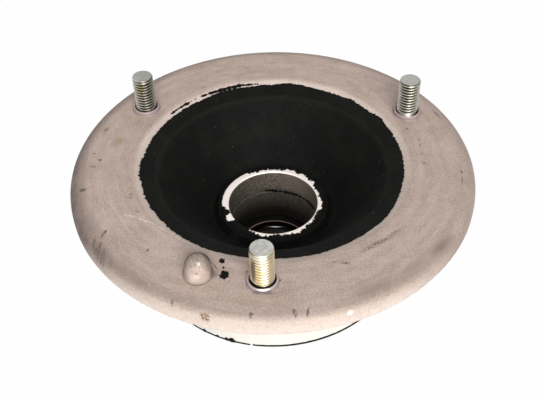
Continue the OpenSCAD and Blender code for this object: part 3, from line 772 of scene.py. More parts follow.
def zinc_plated_steel(look):
    """Rolled steel thread with clear zinc plating: bright, faintly yellow crests, dark roots and a bluish
    end face, with the small cloudiness of a plating bath. A painted highlight on one side of the front stud
    clears the dirt from its roots, and the rear studs carry painted shade on their left sides."""
    material, add, at = start_finish("zinc_plated_steel", {"Metallic": 1.0}, PLATING_GRAINS)
    root = add("ShaderNodeAttribute", out="Fac", attribute_name=ROOT)
    # Painted highlight on the front stud's side: the roots' dirt fades there.
    bright = add(RANGE, {0: blot(add, at, BRIGHT_SIDE[0], 0, BRIGHT_SIDE[1]), 1: 0.1, 2: 0.5})
    clean_and_lit = add(RANGE, {0: bright, 3: 1, 4: 0.25})
    dirt = add(MATH, {0: at.cloud, 1: 0.5, 2: root}, operation="MULTIPLY_ADD")
    dirt = add(RANGE, {0: dirt, 1: 0.3, 2: 1.2, 3: 0.12, 4: 1})
    dirt = combine(add, "MULTIPLY", [dirt, clean_and_lit])
    gold = add(RANGE, {0: at.cloud, 1: 0.45, 2: 0.65, 4: 0.7})
    rear = add(RANGE, {0: at.y, 1: REAR_Y[0], 2: REAR_Y[1]})
    cool = add(RANGE, {0: rear, 4: 0.7})
    layers = [(gold, look.gold), (cool, look.cool)]
    for kind, place, size, strength in STREAKS:
        spot = blot(add, at, place, 0, size)
        spot = add(MATH, {0: at.cloud, 1: 0.4, 2: spot}, operation="MULTIPLY_ADD")
        spot = add(RANGE, {0: spot, 1: 0.3, 2: 0.75, 4: strength})
        layers.append((spot, getattr(look, kind)))
    top = STUD_TOP / MM
    end = add(RANGE, {0: at.z, 1: top - END_MM[0], 2: top - END_MM[1]})
    scuff = add(RANGE, {0: at.cloud, 1: 0.36, 2: 0.56, 3: 0.6, 4: 1})
    end = combine(add, "MULTIPLY", [end, scuff])
    cut = add(RANGE, {0: at.fine, 1: 0.5, 2: 0.7, 4: 0.5})
    cut = combine(add, "MULTIPLY", [cut, end])
    left = add(RANGE, {0: at.x, 1: 50, 2: -50, 3: 0.3, 4: 0.68})
    lit = add(RANGE, {0: blot(add, at, REAR_LIGHT[0], 0, REAR_LIGHT[1]), 1: 0.1, 2: 0.5, 3: 1, 4: 0.4})
    pale = add(RANGE, {0: end, 3: 1, 4: 0.45})
    shade = combine(add, "MULTIPLY", [rear, left, lit, pale])
    start = look.neck / MM
    neck = add(RANGE, {0: at.z, 1: start + NECK_FADE[0], 2: start + NECK_FADE[1], 4: 0.8})
    front = add(RANGE, {0: at.y, 1: REAR_Y[1], 2: REAR_Y[0], 3: 0.25, 4: 1})
    above = add(RANGE, {0: at.z, 1: NECK_Z[0], 2: NECK_Z[1]})
    neck = combine(add, "MULTIPLY", [neck, front, above])
    layers += [(dirt, look.dark), (end, look.face), (cut, look.dark), (shade, look.dark), (neck, look.dark)]
    plate = paint(add, look.light, layers)
    rough = add(RANGE, {0: at.cloud, 1: LOW, 2: HIGH, 3: 0.26, 4: 0.42})
    bump = add(BUMP, {"Height": at.fine, "Strength": 0.3, "Distance": 0.03 * MM})
    return end_finish(material, {"Base Color": plate, "Roughness": rough, "Normal": bump})


# Grains of the sleeve's wall: size (mm) and detail.
SLEEVE_GRAINS = {"cloud": (5.0, 5), "grit": (0.5, 2), "mottle": (0.8, 3)}
# Depth of the rim's bare metal (mm).
RIM_DEPTH_MM = 0.5
# How far outside the bore's radius its darker colouring ends, and the width of that change (mm).
BORE_SKIN_MM = 0.6
SKIN_BLEND = 0.1
# How far the upper edge of the lower bore's darkening waves (mm), and where it starts and is whole, from the
# step in the bore: the darker tone, partly the wall's own and partly painted shade, and the nearly black
# painted shade below it.
DARK_WAVE = 3.0
DARK_LOW = (2.0, -1.5)
DARK_DEEP = (-3.5, -11)
# Where the bore's darkening grows weaker to the right, and stronger to the left (mm along x).
WEAKER_X = (3, 15)
STRONGER_X = (14, -15)


def bare_cast_sleeve(look):
    """Cast aluminium as it left the mould: a clean bright rim and a rough grey wall inside it. The lower
    bore turns darker, partly its own tone and partly painted shade, down to nearly black painted shade at
    its lower end."""
    material, add, at = start_finish("bare_cast_sleeve", {"Specular IOR Level": 0.3}, SLEEVE_GRAINS)
    wavy = add(MATH, {0: at.cloud, 1: DARK_WAVE, 2: at.z}, operation="MULTIPLY_ADD")
    step = DARK_WAVE - look.step_drop / MM
    skin = look.bore / MM + BORE_SKIN_MM
    inside = add(RANGE, {0: at.reach, 1: skin + SKIN_BLEND, 2: skin})
    # Nearly black painted shade at the lower end of the bore.
    deep = add(RANGE, {0: wavy, 1: step + DARK_DEEP[0], 2: step + DARK_DEEP[1]})
    weaker = add(RANGE, {0: at.x, 1: WEAKER_X[0], 2: WEAKER_X[1], 3: 1, 4: 0.5})
    deep = combine(add, "MULTIPLY", [deep, inside, weaker])
    # The darker lower bore: partly the wall's own tone and partly painted shade.
    low = add(RANGE, {0: wavy, 1: step + DARK_LOW[0], 2: step + DARK_LOW[1]})
    side = add(RANGE, {0: at.x, 1: STRONGER_X[0], 2: STRONGER_X[1], 4: 0.8})
    grain = add(RANGE, {0: at.grit, 1: LOW, 2: HIGH, 3: 0.55, 4: -0.55})
    mottle = add(RANGE, {0: at.mottle, 1: 0.35, 2: 0.65, 3: 0.32, 4: -0.25})
    right = add(RANGE, {0: at.x, 1: WEAKER_X[0], 2: WEAKER_X[1], 4: -0.4})
    low = combine(add, "ADD", [combine(add, "MAXIMUM", [low, side]), grain, mottle, right])
    low = combine(add, "MULTIPLY", [low, inside])
    rim = -look.rim_drop / MM
    high = add(RANGE, {0: at.z, 1: rim - RIM_DEPTH_MM, 2: rim - RIM_DEPTH_MM / 2})
    blotch = add(RANGE, {0: at.cloud, 1: 0.35, 2: 0.7, 4: 0.45})
    wall = paint(add, look.foot, [
        (blotch, look.wall), (inside, look.wall), (low, look.stain_and_shade), (deep, look.depth), (high, look.rim),
    ])
    metal = add(RANGE, {0: high, 3: 0.25, 4: 0.9})
    rough = add(RANGE, {0: at.grit, 1: LOW, 2: HIGH, 3: 0.5, 4: 0.7})
    bump = add(BUMP, {"Height": at.grit, "Strength": 0.5, "Distance": 0.08 * MM})
    return end_finish(
        material, {"Base Color": wall, "Metallic": metal, "Roughness": rough, "Normal": bump}
    )


# Grain of the grease: size (mm) and detail.
GREASE_GRAINS = {"smear": (1.2, 4)}
# Band of painted highlight beside the inner ring's outer edge: its start and end inside that edge, the width
# of its change, and the height to which its rolled lip and the grease rise (mm).
LIP_MM = (0.72, 0.4)
LIP_BLEND = 0.1
LIP_RISE = 0.11
GREASE_RISE = 0.004
# Painted highlight on the back of the edge of the ring's bore: its place and half sizes (mm).
BORE_HIGHLIGHT = ((0.0, 10.55, -46.0), (5.0, 0.3, 0.6))


def greased_bearing_steel(look):
    """Ground steel under dark grease: faces that look nearly black from above, with a rolled lip by the
    ring's outer edge, a painted highlight along that edge and another on the back of its bore's edge."""
    material, add, at = start_finish("greased_bearing_steel", {"Metallic": 1.0}, GREASE_GRAINS)
    start, end = (look.land / MM - inside for inside in LIP_MM)
    # Painted highlight along the inner ring's outer edge, and on the back of its bore's edge.
    lip_highlight = add(RANGE, {0: at.reach, 1: start, 2: start + LIP_BLEND})
    rise = add(RANGE, {0: at.reach, 1: start, 2: end, 4: LIP_RISE})
    spot = add(RANGE, {0: blot(add, at, BORE_HIGHLIGHT[0], 0, BORE_HIGHLIGHT[1]), 2: 0.4})
    steel = paint(add, look.grease, [(lip_highlight, look.edge_highlight), (spot, look.steel)])
    rough = add(RANGE, {0: at.smear, 1: LOW, 2: HIGH, 3: 0.25, 4: 0.45})
    relief = add(MATH, {0: at.smear, 1: GREASE_RISE, 2: rise}, operation="MULTIPLY_ADD")
    bump = add(BUMP, {"Height": relief, "Strength": 1, "Distance": MM})
    return end_finish(material, {"Base Color": steel, "Roughness": rough, "Normal": bump})


# Clouds on worked metal are this many times as wide as its rings.
CLOUD_TIMES = 12
# Brightness of the deepest marks, as a share of the metal's own.
DULL_SHARE = 0.4


def worked_metal(name, tone, sockets, ring_mm, depth_mm, dulling):
    """A machined, pressed or moulded surface: fine rings of the given width turn up as a slight change
    of tone and gloss. Dulling is how much of the dull tone the deepest marks take. Real tool marks are
    finer than these rings, which are drawn as coarse as they need to show."""
    material, add, at = start_finish(name, sockets, {"cloud": (CLOUD_TIMES * ring_mm, 4)})
    turned = add("ShaderNodeCombineXYZ", {0: at.reach, 2: at.z})
    rings = add(NOISE, {"Vector": turned, "Scale": 1 / ring_mm, "Detail": 4})
    marks = combine(add, "MULTIPLY", [rings, at.cloud])
    marks = add(RANGE, {0: marks, 1: 0.1, 2: 0.45, 3: dulling, 4: 0})
    dull = [c * DULL_SHARE for c in tone[:3]] + [1.0]
    gloss = sockets["Roughness"]
    rough = add(RANGE, {0: at.cloud, 1: LOW, 2: HIGH, 3: gloss * 0.8, 4: gloss * 1.25})
    bump = add(BUMP, {"Height": rings, "Strength": 0.25, "Distance": depth_mm * MM})
    metal = paint(add, tone, [(marks, dull)])
    return end_finish(material, {"Base Color": metal, "Roughness": rough, "Normal": bump})


def ragged(angles, radius, grain, seed):
    """A random line round a circle, within about 1 either way, whose bumps are one grain long (mm)."""
    k = radius / grain
    return np.array([noise.noise(Vector((k * math.cos(a), k * math.sin(a), seed))) for a in angles])


def hump(angles, centre, half_width):
    """1 at the centre angle, falling to 0 a half width to either side (degrees)."""
    away = (np.degrees(angles) - centre + 180) % 360 - 180
    return np.clip(1 - (away / half_width) ** 2, 0, 1)


def by_angle(angles, points):
    """A closed line through points of angle (degrees, rising) and value."""
    turn = np.degrees(angles) % 360
    return np.interp(turn, [a for a, v in points], [v for a, v in points], period=360)


def rounded(points, count):
    """A line of radii and heights whose inner corners, given with a radius, are arcs of that many points."""
    line = [points[0][:2]]
    for before, here, after in zip(points, points[1:], points[2:]):
        p = Vector(here[:2])
        a = (Vector(before[:2]) - p).normalized()
        b = (Vector(after[:2]) - p).normalized()
        half = a.angle(b) / 2
        middle = p + (a + b).normalized() * here[2] / math.sin(half)
        first = p + a * here[2] / math.tan(half) - middle
        last = p + b * here[2] / math.tan(half) - middle
        for k in range(count):
            spoke = first.slerp(last, k / (count - 1)) * here[2]
            line.append(tuple(middle + spoke))
    line.append(points[-1][:2])
    return line


# The flange's slope outside and under the rubber's edge (mm): radii and heights of the metal.
MOUTH_METAL = ((46.4, -2.03), (48.5, -1.25), (51.5, 0.0), (60.0, 0.0))
# How steeply the sleeve's walls fall past its rim's rounded edges, as far as the film needs them.
WALL_FALL = 3
# The skirt's wall (mm): outer radius and depth of its lower end, and its taper.
SKIRT_END = 50.15
SKIRT_END_DROP = 46.9
SKIRT_TAPER = 0.048
# How far a hidden edge of the rubber runs into the metal (mm).
BOND = 0.08
# Random lines along the rubber's torn edges: grain (mm) and seed.
MOUTH_WAVES = (1.2, 1.5)
MOUTH_TEETH = (0.5, 2.5)
RIM_WAVES = (0.8, 4.5)
RIM_TEETH = (0.35, 5.5)
BLOB_GRAIN = (0.8, 6.5)
BREAK_GRAIN = (1.2, 7.5)
CLIMB_GRAIN = (1.5, 8.5)
LUMP_GRAIN = (0.9, 9.5)
# Where the mouth's teeth are longest, and where the film on the sleeve's rim is hardly torn: middle and
# half width (degrees).
LONG_TEETH = (195, 50)
WHOLE_RIM = (150, 42)
# The rubber's outer edge, where its film ends on the flange's slope: angle and radius (mm).
MOUTH_FILM = (
    (0, 48.8), (20, 48.75), (28, 49.0), (32, 49.5), (36, 49.4), (40, 48.6), (48, 48.85), (52, 49.4),
    (56, 48.85), (68, 48.75), (76, 49.15), (84, 49.65), (88, 49.25), (92, 48.75), (104, 48.6),
    (112, 48.9), (120, 48.85), (124, 48.55), (152, 48.45), (176, 48.55), (180, 48.9), (188, 49.4),
    (196, 48.9), (212, 49.0), (224, 48.85), (228, 49.45), (232, 48.95), (244, 49.35), (252, 49.15),
    (260, 48.7), (276, 48.8), (284, 49.1), (292, 49.6), (300, 49.4), (316, 49.45), (324, 49.9),
    (332, 49.35), (344, 48.85),
)
# Rows of the mouth's film: share of the way to the bend, and how far its rounded edge lies below the
# film's face, as a share of its thickness.
EDGE_STEPS = ((0, 0.5), (0.03, 0.12), (0.1, 0), (0.3, 0), (0.6, 0))
# How far outside the bend its arc may begin (mm), and radii of the bend, the valley and the foot of the
# film on the sleeve (mm).
BEND_START = 2.6
BEND_ROUND = 3
VALLEY_ROUND = 1.6
FOOT_ROUND = 0.5
# Points on each of those arcs, and steps of the slope between the first two.
CORNER_STEPS = 6
SLOPE_STEPS = 8
# Where the rubber meets the sleeve: outside its rim, and how far below it (mm).
FOOT_OUT = 1.1
FOOT_DROPS = (0.5, 0.35)
# Lump of rubber in the valley: height (mm), angle and half width (degrees), and radius and half width.
LUMP_HEIGHT = 1.3
LUMP_SPAN = (-128, 8)
LUMP_RADII = (22.4, 2.2)
# Film on the sleeve's rim (mm): where it begins outside the rim, how far inside that its rows lie, its
# thickness there and at its torn edge, and the slope by which it climbs on to the rim.
FILM_OUT = 0.5
FILM_RADII = (0.15, 0.35, 0.5, 0.65, 0.8, 0.95, 1.2, 1.9, 3.0, 3.25, 3.42)
FILM_T = 0.17
FILM_END = 0.06
FILM_CLIMB = 0.9
# Least distance between two rows of that film (mm).
FILM_GAP = 0.04
# Inner edge of the film on the sleeve's rim: angle and radius (mm), where 17.2 covers the whole rim.
RIM_FILM = (
    (0, 19.1), (3, 18.6), (12, 18.3), (18, 18.6), (24, 18.3), (27, 17.9), (33, 18.4), (36, 19.8),
    (39, 19.8), (42, 18.6), (48, 19.0), (51, 19.7), (57, 20.1), (60, 18.5), (63, 19.1), (66, 19.7),
    (78, 19.7), (81, 18.7), (96, 18.7), (99, 19.1), (102, 18.8), (105, 19.1), (108, 18.8), (114, 18.4),
    (117, 19.0), (123, 18.8), (126, 20.3), (150, 20.3), (162, 20.0), (174, 20.0), (177, 19.7),
    (183, 20.0), (189, 19.9), (192, 18.6), (196, 18.4), (199, 17.9), (201, 17.2), (202, 17.2),
    (204, 18.4), (206, 19.6), (209, 20.3), (215, 20.2), (217, 17.2), (241, 17.2), (243, 18.1),
    (249, 18.1), (252, 18.8), (258, 18.8), (261, 19.5), (264, 18.8), (267, 19.1), (270, 18.0),
    (279, 18.1), (285, 18.5), (288, 18.2), (291, 19.3), (294, 18.7), (300, 19.4), (306, 19.5),
    (309, 18.9), (312, 19.1), (315, 18.2), (321, 18.4), (324, 18.8), (327, 18.3), (333, 18.1),
    (345, 18.2), (351, 19.4), (357, 19.0),
)
# Where a lump of rubber hangs over the edge of the bore: its middle and half width (degrees), how far it
# stands into the bore, and how far the film's edge and its foot hang down there (mm).
HANG = (229, 13)
HANG_IN = 0.15
HANG_DROPS = (0.9, 1.3)
# Hidden faces of the rubber (mm): radii and heights down the sleeve's side, along the underside, where
# a third value is a corner's radius, and up behind the skirt.
BEHIND_SLEEVE = ((19.9, -22.7), (20.3, -29), (21.2, -33), (29.4, -42.6), (30.9, -46), (30.9, -52.95))
UNDERSIDE = (
    (30.9, -53, 0), (33.4, -53, 1), (34.5, -40, 2.6), (42.5, -40, 2.6), (45.4, -47.5, 0.4), (49.4, -47.5, 0),
)
UNDERSIDE_STEPS = 5
BEHIND_SKIRT = ((46.6, -46.3), (43.6, -10), (43.3, -5.2), (45.9, -2.9))
# Blobs on the rubber's edge under the skirt: angle and half width (degrees), and size.
SKIRT_BLOBS = ((-105.3, 1.7, 1.0), (-107.7, 0.8, 0.8), (-112.0, 0.5, 0.5), (-118.4, 0.9, 0.6))
# Where that edge is broken, and where it climbs higher up the skirt: middle and half width (degrees).
SKIRT_BREAK = (-96.8, 0.5)
HIGH_CLIMB = (-55, 40)
# How far that edge climbs up the skirt, how much more at the high place and on a blob, how far it stands
# proud, how much more on a blob, how far a break goes in, and its reach below the skirt (mm).
CLIMB_MM = 0.48
CLIMB_HIGH = 0.3
CLIMB_BLOB = 1.3
PROUD_MM = 0.06
PROUD_BLOB = 0.25
BREAK_IN = 1.2
SKIRT_LOW = 0.6


def metal_at_mouth(radius):
    """Height of the casting's surface near the mouth (mm)."""
    return np.interp(radius, [r for r, z in MOUTH_METAL], [z for r, z in MOUTH_METAL])


def metal_at_rim(radius, sleeve):
    """Height of the sleeve's rim, with its two rounded edges (mm)."""
    bore, outer, edge = (v / MM for v in (sleeve.bore, sleeve.rim_radius, sleeve.edge))
    over = np.maximum(np.maximum(radius - (outer - edge), (bore + edge) - radius), 0)
    arc = np.sqrt(np.maximum(edge ** 2 - over ** 2, 0))
    return -sleeve.rim_drop / MM - edge + arc - WALL_FALL * np.maximum(over - edge, 0)


def mouth_edge(look, angles):
    """Radius of the rubber's torn outer edge (mm)."""
    mouth = look.mouth / MM
    teeth = (0.35 + 0.45 * hump(angles, *LONG_TEETH)) * ragged(angles, mouth, *MOUTH_TEETH)
    return by_angle(angles, MOUTH_FILM) + 0.2 * ragged(angles, mouth, *MOUTH_WAVES) + teeth


def funnel_rows(look, sleeve, angles):
    """The rubber's section as rows of radii and heights (mm), from the mouth down the funnel, over
    the sleeve's rim, back inside the metal, along the underside and up behind the skirt."""
    edge = mouth_edge(look, angles)
    hidden = edge - 0.5
    return [
        (edge, metal_at_mouth(edge) - BOND),
        *slope_rows(look, sleeve, angles, edge),
        *rim_film_rows(sleeve, angles),
        *BEHIND_SLEEVE,
        *rounded(UNDERSIDE, UNDERSIDE_STEPS)[1:],
        *skirt_film_rows(angles),
        *BEHIND_SKIRT,
        (hidden, metal_at_mouth(hidden) - 3 * BOND),
    ]


def slope_rows(look, sleeve, angles, edge):
    """The funnel's face: from its torn edge over the bend to the valley, and up to the sleeve (mm)."""
    mouth, bend, valley, film = (v / MM for v in (look.mouth, look.bend, look.valley, look.film))
    mouth_z, bend_z, valley_z = (-v / MM for v in (look.mouth_drop, look.bend_drop, look.valley_drop))
    rim_z = -sleeve.rim_drop / MM
    foot = sleeve.rim_radius / MM + FOOT_OUT
    fall = (mouth_z - bend_z) / (mouth - bend)
    inner = bend + BEND_START

    def top(radius):
        return mouth_z - fall * (mouth - radius)

    rows = []
    for t, sunk in EDGE_STEPS:
        radius = edge + (inner - edge) * t
        rows.append((radius, top(radius) - film * sunk))
    line = rounded([
        (inner, top(inner), 0),
        (bend, bend_z, BEND_ROUND),
        (valley, valley_z, VALLEY_ROUND),
        (foot, rim_z - FOOT_DROPS[0], FOOT_ROUND),
        (foot - FOOT_ROUND, rim_z - FOOT_DROPS[1], 0),
    ], CORNER_STEPS)
    bend_end = CORNER_STEPS
    (r0, z0), (r1, z1) = line[bend_end:bend_end + 2]
    shares = [step / SLOPE_STEPS for step in range(1, SLOPE_STEPS)]
    line[bend_end + 1:bend_end + 1] = [(r0 + (r1 - r0) * t, z0 + (z1 - z0) * t) for t in shares]
    lump = LUMP_HEIGHT * hump(angles, *LUMP_SPAN) * (1 + 0.4 * ragged(angles, valley, *LUMP_GRAIN))
    for radius, height in line:
        swell = max(0.0, 1 - ((radius - LUMP_RADII[0]) / LUMP_RADII[1]) ** 2)
        rows.append((radius, height + swell * lump))
    return rows


def rim_film_rows(sleeve, angles):
    """The film on the sleeve's rim, with its torn inner edge and the lump that hangs in the bore (mm)."""
    rim, bore, rim_z = sleeve.rim_radius / MM, sleeve.bore / MM, -sleeve.rim_drop / MM
    teeth = 0.45 * ragged(angles, rim, *RIM_WAVES) + 0.8 * ragged(angles, rim, *RIM_TEETH)
    cover = by_angle(angles, RIM_FILM) + (1 - 0.8 * hump(angles, *WHOLE_RIM)) * teeth
    cover = np.clip(cover, bore - 0.02, rim + 0.15)
    rows = []
    for k, target in enumerate(FILM_RADII):
        radius = np.maximum(rim + FILM_OUT - target, cover + FILM_GAP * (len(FILM_RADII) - k))
        ramp = np.minimum(rim_z - 0.05 - FILM_CLIMB * (radius - rim), rim_z + FILM_T)
        rows.append((radius, np.maximum(ramp, metal_at_rim(radius, sleeve) + FILM_T)))
    hang = hump(angles, *HANG)
    metal = metal_at_rim(cover, sleeve)
    rows.append((cover - HANG_IN * hang, metal + FILM_END - HANG_DROPS[0] * hang))
    rows.append((cover, metal - BOND - HANG_DROPS[1] * hang))
    return rows


def skirt_film_rows(angles):
    """The thin black edge under the skirt, with its blobs and breaks (mm)."""
    blobs = sum(size * hump(angles, turn, half_width) for turn, half_width, size in SKIRT_BLOBS)
    blobs *= 1 + 0.5 * ragged(angles, SKIRT_END, *BLOB_GRAIN)
    broken = hump(angles, *SKIRT_BREAK) * (ragged(angles, SKIRT_END, *BREAK_GRAIN) > -0.35)
    waves = 0.15 * ragged(angles, SKIRT_END, *CLIMB_GRAIN)
    climb = CLIMB_MM + CLIMB_HIGH * hump(angles, *HIGH_CLIMB) + waves + CLIMB_BLOB * blobs
    proud = PROUD_MM + PROUD_BLOB * np.minimum(blobs, 1)
    outer = SKIRT_END + proud - BREAK_IN * broken
    low = -SKIRT_END_DROP - SKIRT_LOW
    high = -SKIRT_END_DROP + np.maximum(climb, 0.02) * (broken < 0.05)
    return [
        (outer - 0.3, low), (outer, low + 0.2), (outer + SKIRT_TAPER * climb, high - 0.1),
        (outer - proud * 0.6, high), (SKIRT_END - 0.6, high - 0.1),
    ]


class STRUT_MOUNT_OT_stage(Operator):
    """Sets the camera, the lamps, the white surround and the floor"""

    bl_idname = "strut_mount.stage"
    bl_label = "Stage"

    def execute(self, context):
        stage = context.scene.strut_mount.stage
        context.scene.view_settings.view_transform = "Standard"
        self.camera(context, stage)
        self.lamps(stage)
        self.surround(context, stage)
        self.floor(stage)
        return {"FINISHED"}

    def camera(self, context, stage):
        data = bpy.data.cameras.new("camera")
        data.lens = stage.lens
        data.sensor_width = SENSOR_MM
        data.clip_start = CLIP_MM * MM
        back = self.towards(stage.azimuth, stage.elevation)
        right = Vector((0, 0, 1)).cross(back).normalized()
        up = back.cross(right)
        aim = (-back + right * math.tan(stage.pan) + up * math.tan(stage.tilt)).normalized()
        right = aim.cross(up).normalized()
        up = right.cross(aim)
        x = right * math.cos(stage.roll) + up * math.sin(stage.roll)
        y = up * math.cos(stage.roll) - right * math.sin(stage.roll)
        turn = Matrix((x, y, -aim)).transposed().to_4x4()
        camera = link(bpy.data.objects.new("camera", data))
        camera.matrix_world = Matrix.Translation(back * stage.distance) @ turn
        context.scene.camera = camera

    @staticmethod
    def towards(azimuth, elevation):
        """The direction from the flange to a camera or lamp."""
        flat = math.cos(elevation)
        return Vector((math.sin(azimuth) * flat, -math.cos(azimuth) * flat, math.sin(elevation)))

    def lamps(self, stage):
        for name, power, azimuth, elevation in (
            ("key", stage.key_power, stage.key_azimuth, stage.key_elevation),
            ("fill", stage.fill_power, stage.fill_azimuth, stage.fill_elevation),
        ):
            data = bpy.data.lights.new(name, "AREA")
            data.energy = power
            data.size = stage.lamp_size
            lamp = link(bpy.data.objects.new(name, data))
            out = self.towards(azimuth, elevation)
            turn = out.to_track_quat("Z", "Y").to_matrix().to_4x4()
            lamp.matrix_world = Matrix.Translation(out * stage.lamp_distance) @ turn

    def surround(self, context, stage):
        world = bpy.data.worlds.new("white_surround")
        world.use_nodes = True
        tree = world.node_tree
        add = partial(add_node, tree)
        strength = add(RANGE, {0: self.seen(add), 3: stage.sky, 4: 1})
        tree.links.new(strength, tree.nodes["Background"].inputs["Strength"])
        tree.nodes["Background"].inputs["Color"].default_value = WHITE
        context.scene.world = world

    @staticmethod
    def seen(add):
        """1 for rays from the camera and for what metal or glass shows, otherwise 0."""
        path = add("ShaderNodeLightPath", out=None)
        rays = [path[f"Is {kind} Ray"] for kind in ("Camera", "Glossy", "Transmission")]
        return combine(add, "MAXIMUM", rays)

    def floor(self, stage):
        """White paper: a dull sheet that hardly shows the object's shadow, so that it seems to lie on
        nothing but white."""
        sides = ((-1, -1), (1, -1), (1, 1), (-1, 1))
        mesh = bpy.data.meshes.new("floor")
        mesh.from_pydata([(x * FLOOR_HALF, y * FLOOR_HALF, FLOOR_Z) for x, y in sides], [], [(0, 1, 2, 3)])
        material = bpy.data.materials.new("white_paper")
        material.use_nodes = True
        tree = material.node_tree
        add = partial(add_node, tree)
        paper = {"Base Color": stage.floor_colour, "Roughness": 1, "Specular IOR Level": 0}
        for socket, value in paper.items():
            tree.nodes[SHADER].inputs[socket].default_value = value
        white = add("ShaderNodeEmission", {"Color": WHITE, "Strength": 1})
        glow = add(MATH, {0: self.seen(add), 1: stage.floor_glow}, operation="MULTIPLY")
        mixed = add("ShaderNodeMixShader", {0: glow, 1: tree.nodes[SHADER].outputs[0], 2: white})
        tree.links.new(mixed, tree.nodes["Material Output"].inputs["Surface"])
        mesh.materials.append(material)
        link(bpy.data.objects.new("floor", mesh))


class STRUT_MOUNT_OT_casting(Operator):
    """Gives the flange housing its blasted cast finish"""

    bl_idname = "strut_mount.casting"
    bl_label = "Casting"

    def execute(self, context):
        settings = context.scene.strut_mount
        dress("flange_housing", blasted_cast_aluminium(settings.casting, settings.studs))
        return {"FINISHED"}


class STRUT_MOUNT_OT_rubber(Operator):
    """Moulds the rubber funnel with its torn film edges, and the lint on it"""

    bl_idname = "strut_mount.rubber"
    bl_label = "Rubber"

    def execute(self, context):
        settings = context.scene.strut_mount
        look = settings.rubber
        angles = np.linspace(0, 2 * math.pi, look.steps, endpoint=False)
        mesh = grid_mesh("rubber_funnel", funnel_rows(look, settings.sleeve, angles), angles, closed=True)
        mesh.materials.append(moulded_rubber(look))
        funnel = link(bpy.data.objects.new("rubber_funnel", mesh))
        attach(funnel, "mount")
        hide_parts("rubber_cone")
        specks = link(bpy.data.objects.new("rubber_lint", mesh.copy()))
        tree, keys = lint_tree()
        grow(specks, tree, keys, {
            "Density": look.lint_density, "Smallest": look.lint_smallest, "Largest": look.lint_largest,
            "Seed": look.specks, "Finish": lint(look),
        })
        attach(specks, "mount")
        return {"FINISHED"}


# Lint stays on faces whose normal points up by more than this.
LINT_UPWARD = 0.4


def lint_tree():
    """Small round specks scattered over the faces that look up."""
    tree, add, keys, inputs = node_tree("lint", {
        "Density": "NodeSocketFloat", "Smallest": "NodeSocketFloat", "Largest": "NodeSocketFloat",
        "Seed": "NodeSocketInt", "Finish": "NodeSocketMaterial",
    })
    upward = add("ShaderNodeSeparateXYZ", {0: add("GeometryNodeInputNormal")}, out="Z")
    facing = add(
        "FunctionNodeCompare", {0: upward, 1: LINT_UPWARD}, data_type="FLOAT", operation="GREATER_THAN"
    )
    points = add(
        "GeometryNodeDistributePointsOnFaces",
        {
            "Mesh": inputs["Geometry"], "Selection": facing, "Density": inputs["Density"],
            "Seed": inputs["Seed"],
        },
        out="Points",
    )
    size = add(
        "FunctionNodeRandomValue",
        {2: inputs["Smallest"], 3: inputs["Largest"], "Seed": inputs["Seed"]},
        out=1, data_type="FLOAT",
    )
    ball = add("GeometryNodeMeshIcoSphere", {"Radius": 1.0, "Subdivisions": 1}, out="Mesh")
    flecks = add("GeometryNodeInstanceOnPoints", {"Points": points, "Instance": ball, "Scale": size})
    end_tree(add, flecks, inputs["Finish"])
    return tree, keys


# Splashes of rubber on the flange: radius (mm), angle (degrees) and size (mm).
SPLASHES = ((53.1, -105.15, 1.0), (58.7, -102.45, 1.5), (55.8, -103.7, 0.38))
SPLASH_STEPS = 40
SPLASH_SEED = 20.5
# Streaks of film beside the mouth: angle (degrees), radius and half width (mm), where a width below 0
# is a break.
STREAK = (
    (99, 49.5, -0.2), (102, 49.6, 0.25), (108, 49.8, 0.5), (114, 49.8, 0.6), (120, 49.8, 0.55),
    (126, 50.0, 0.4), (129, 50.0, -0.2), (133, 50.0, -0.2), (136, 49.9, 0.35), (145, 50.0, 0.45),
    (149, 50.0, -0.2), (152, 50.0, -0.2),
)
# Slope of the metal under those streaks, and the most that their half width may be (mm).
STREAK_SLOPE = 0.4
STREAK_WIDEST = 0.8
# Line of flash in the bore, at its step: angle (degrees) and height (mm).
BORE_LINE = ((20, -30.9), (33, -31.0), (60, -31.5), (75, -31.7), (101, -31.3))
# Thickness of the flash, its least half width, and how far its back lies in the metal (mm).
FLASH_T = 0.12
FLASH_LEAST = 0.04
FLASH_SUNK = 0.06
# How far the bore's lower wall stands in from its upper one (mm).
BORE_STEP = 0.25
# First and last angle of the streaks and of the bore's line, and the step between their points (degrees).
STREAK_SPAN = (99, 152, 0.1)
BORE_SPAN = (18, 104, 0.25)
# Their random lines: radius and grain (mm), and seed.
STREAK_WAVES = (49, 2.5, 11.5)
STREAK_WIDTHS = (49, 2.0, 12.5)
STREAK_TEETH = (49, 0.6, 13.5)
BORE_WAVES = (17, 2.0, 14.5)
BORE_WIDTHS = (17, 1.8, 15.5)
BORE_TEETH = (17, 0.6, 16.5)


def splash(radius, turn, size, seed):
    """A flat drop with a ragged outline on the flange's face: its points and faces (mm)."""
    angles = np.linspace(0, 2 * math.pi, SPLASH_STEPS, endpoint=False)
    outline = size * (1 + 0.6 * ragged(angles, 1.0, 0.6, seed) + 0.3 * ragged(angles, 1.0, 0.25, seed + 1))
    ring = np.stack([outline * np.cos(angles), outline * np.sin(angles), 0 * angles], axis=1)
    # Rows from the drop's hidden base over its edge to its crown: share of the outline, and height.
    rows = (
        (0.0, -0.05), (1.0, -0.05), (1.0, 0.05), (0.85, FLASH_T), (0.5, FLASH_T * 1.5), (0.0, FLASH_T * 1.6),
    )
    points = np.concatenate([polar(radius, turn) + ring * k + (0, 0, z) for k, z in rows])
    return points, grid_faces(len(rows), SPLASH_STEPS, closed=False)


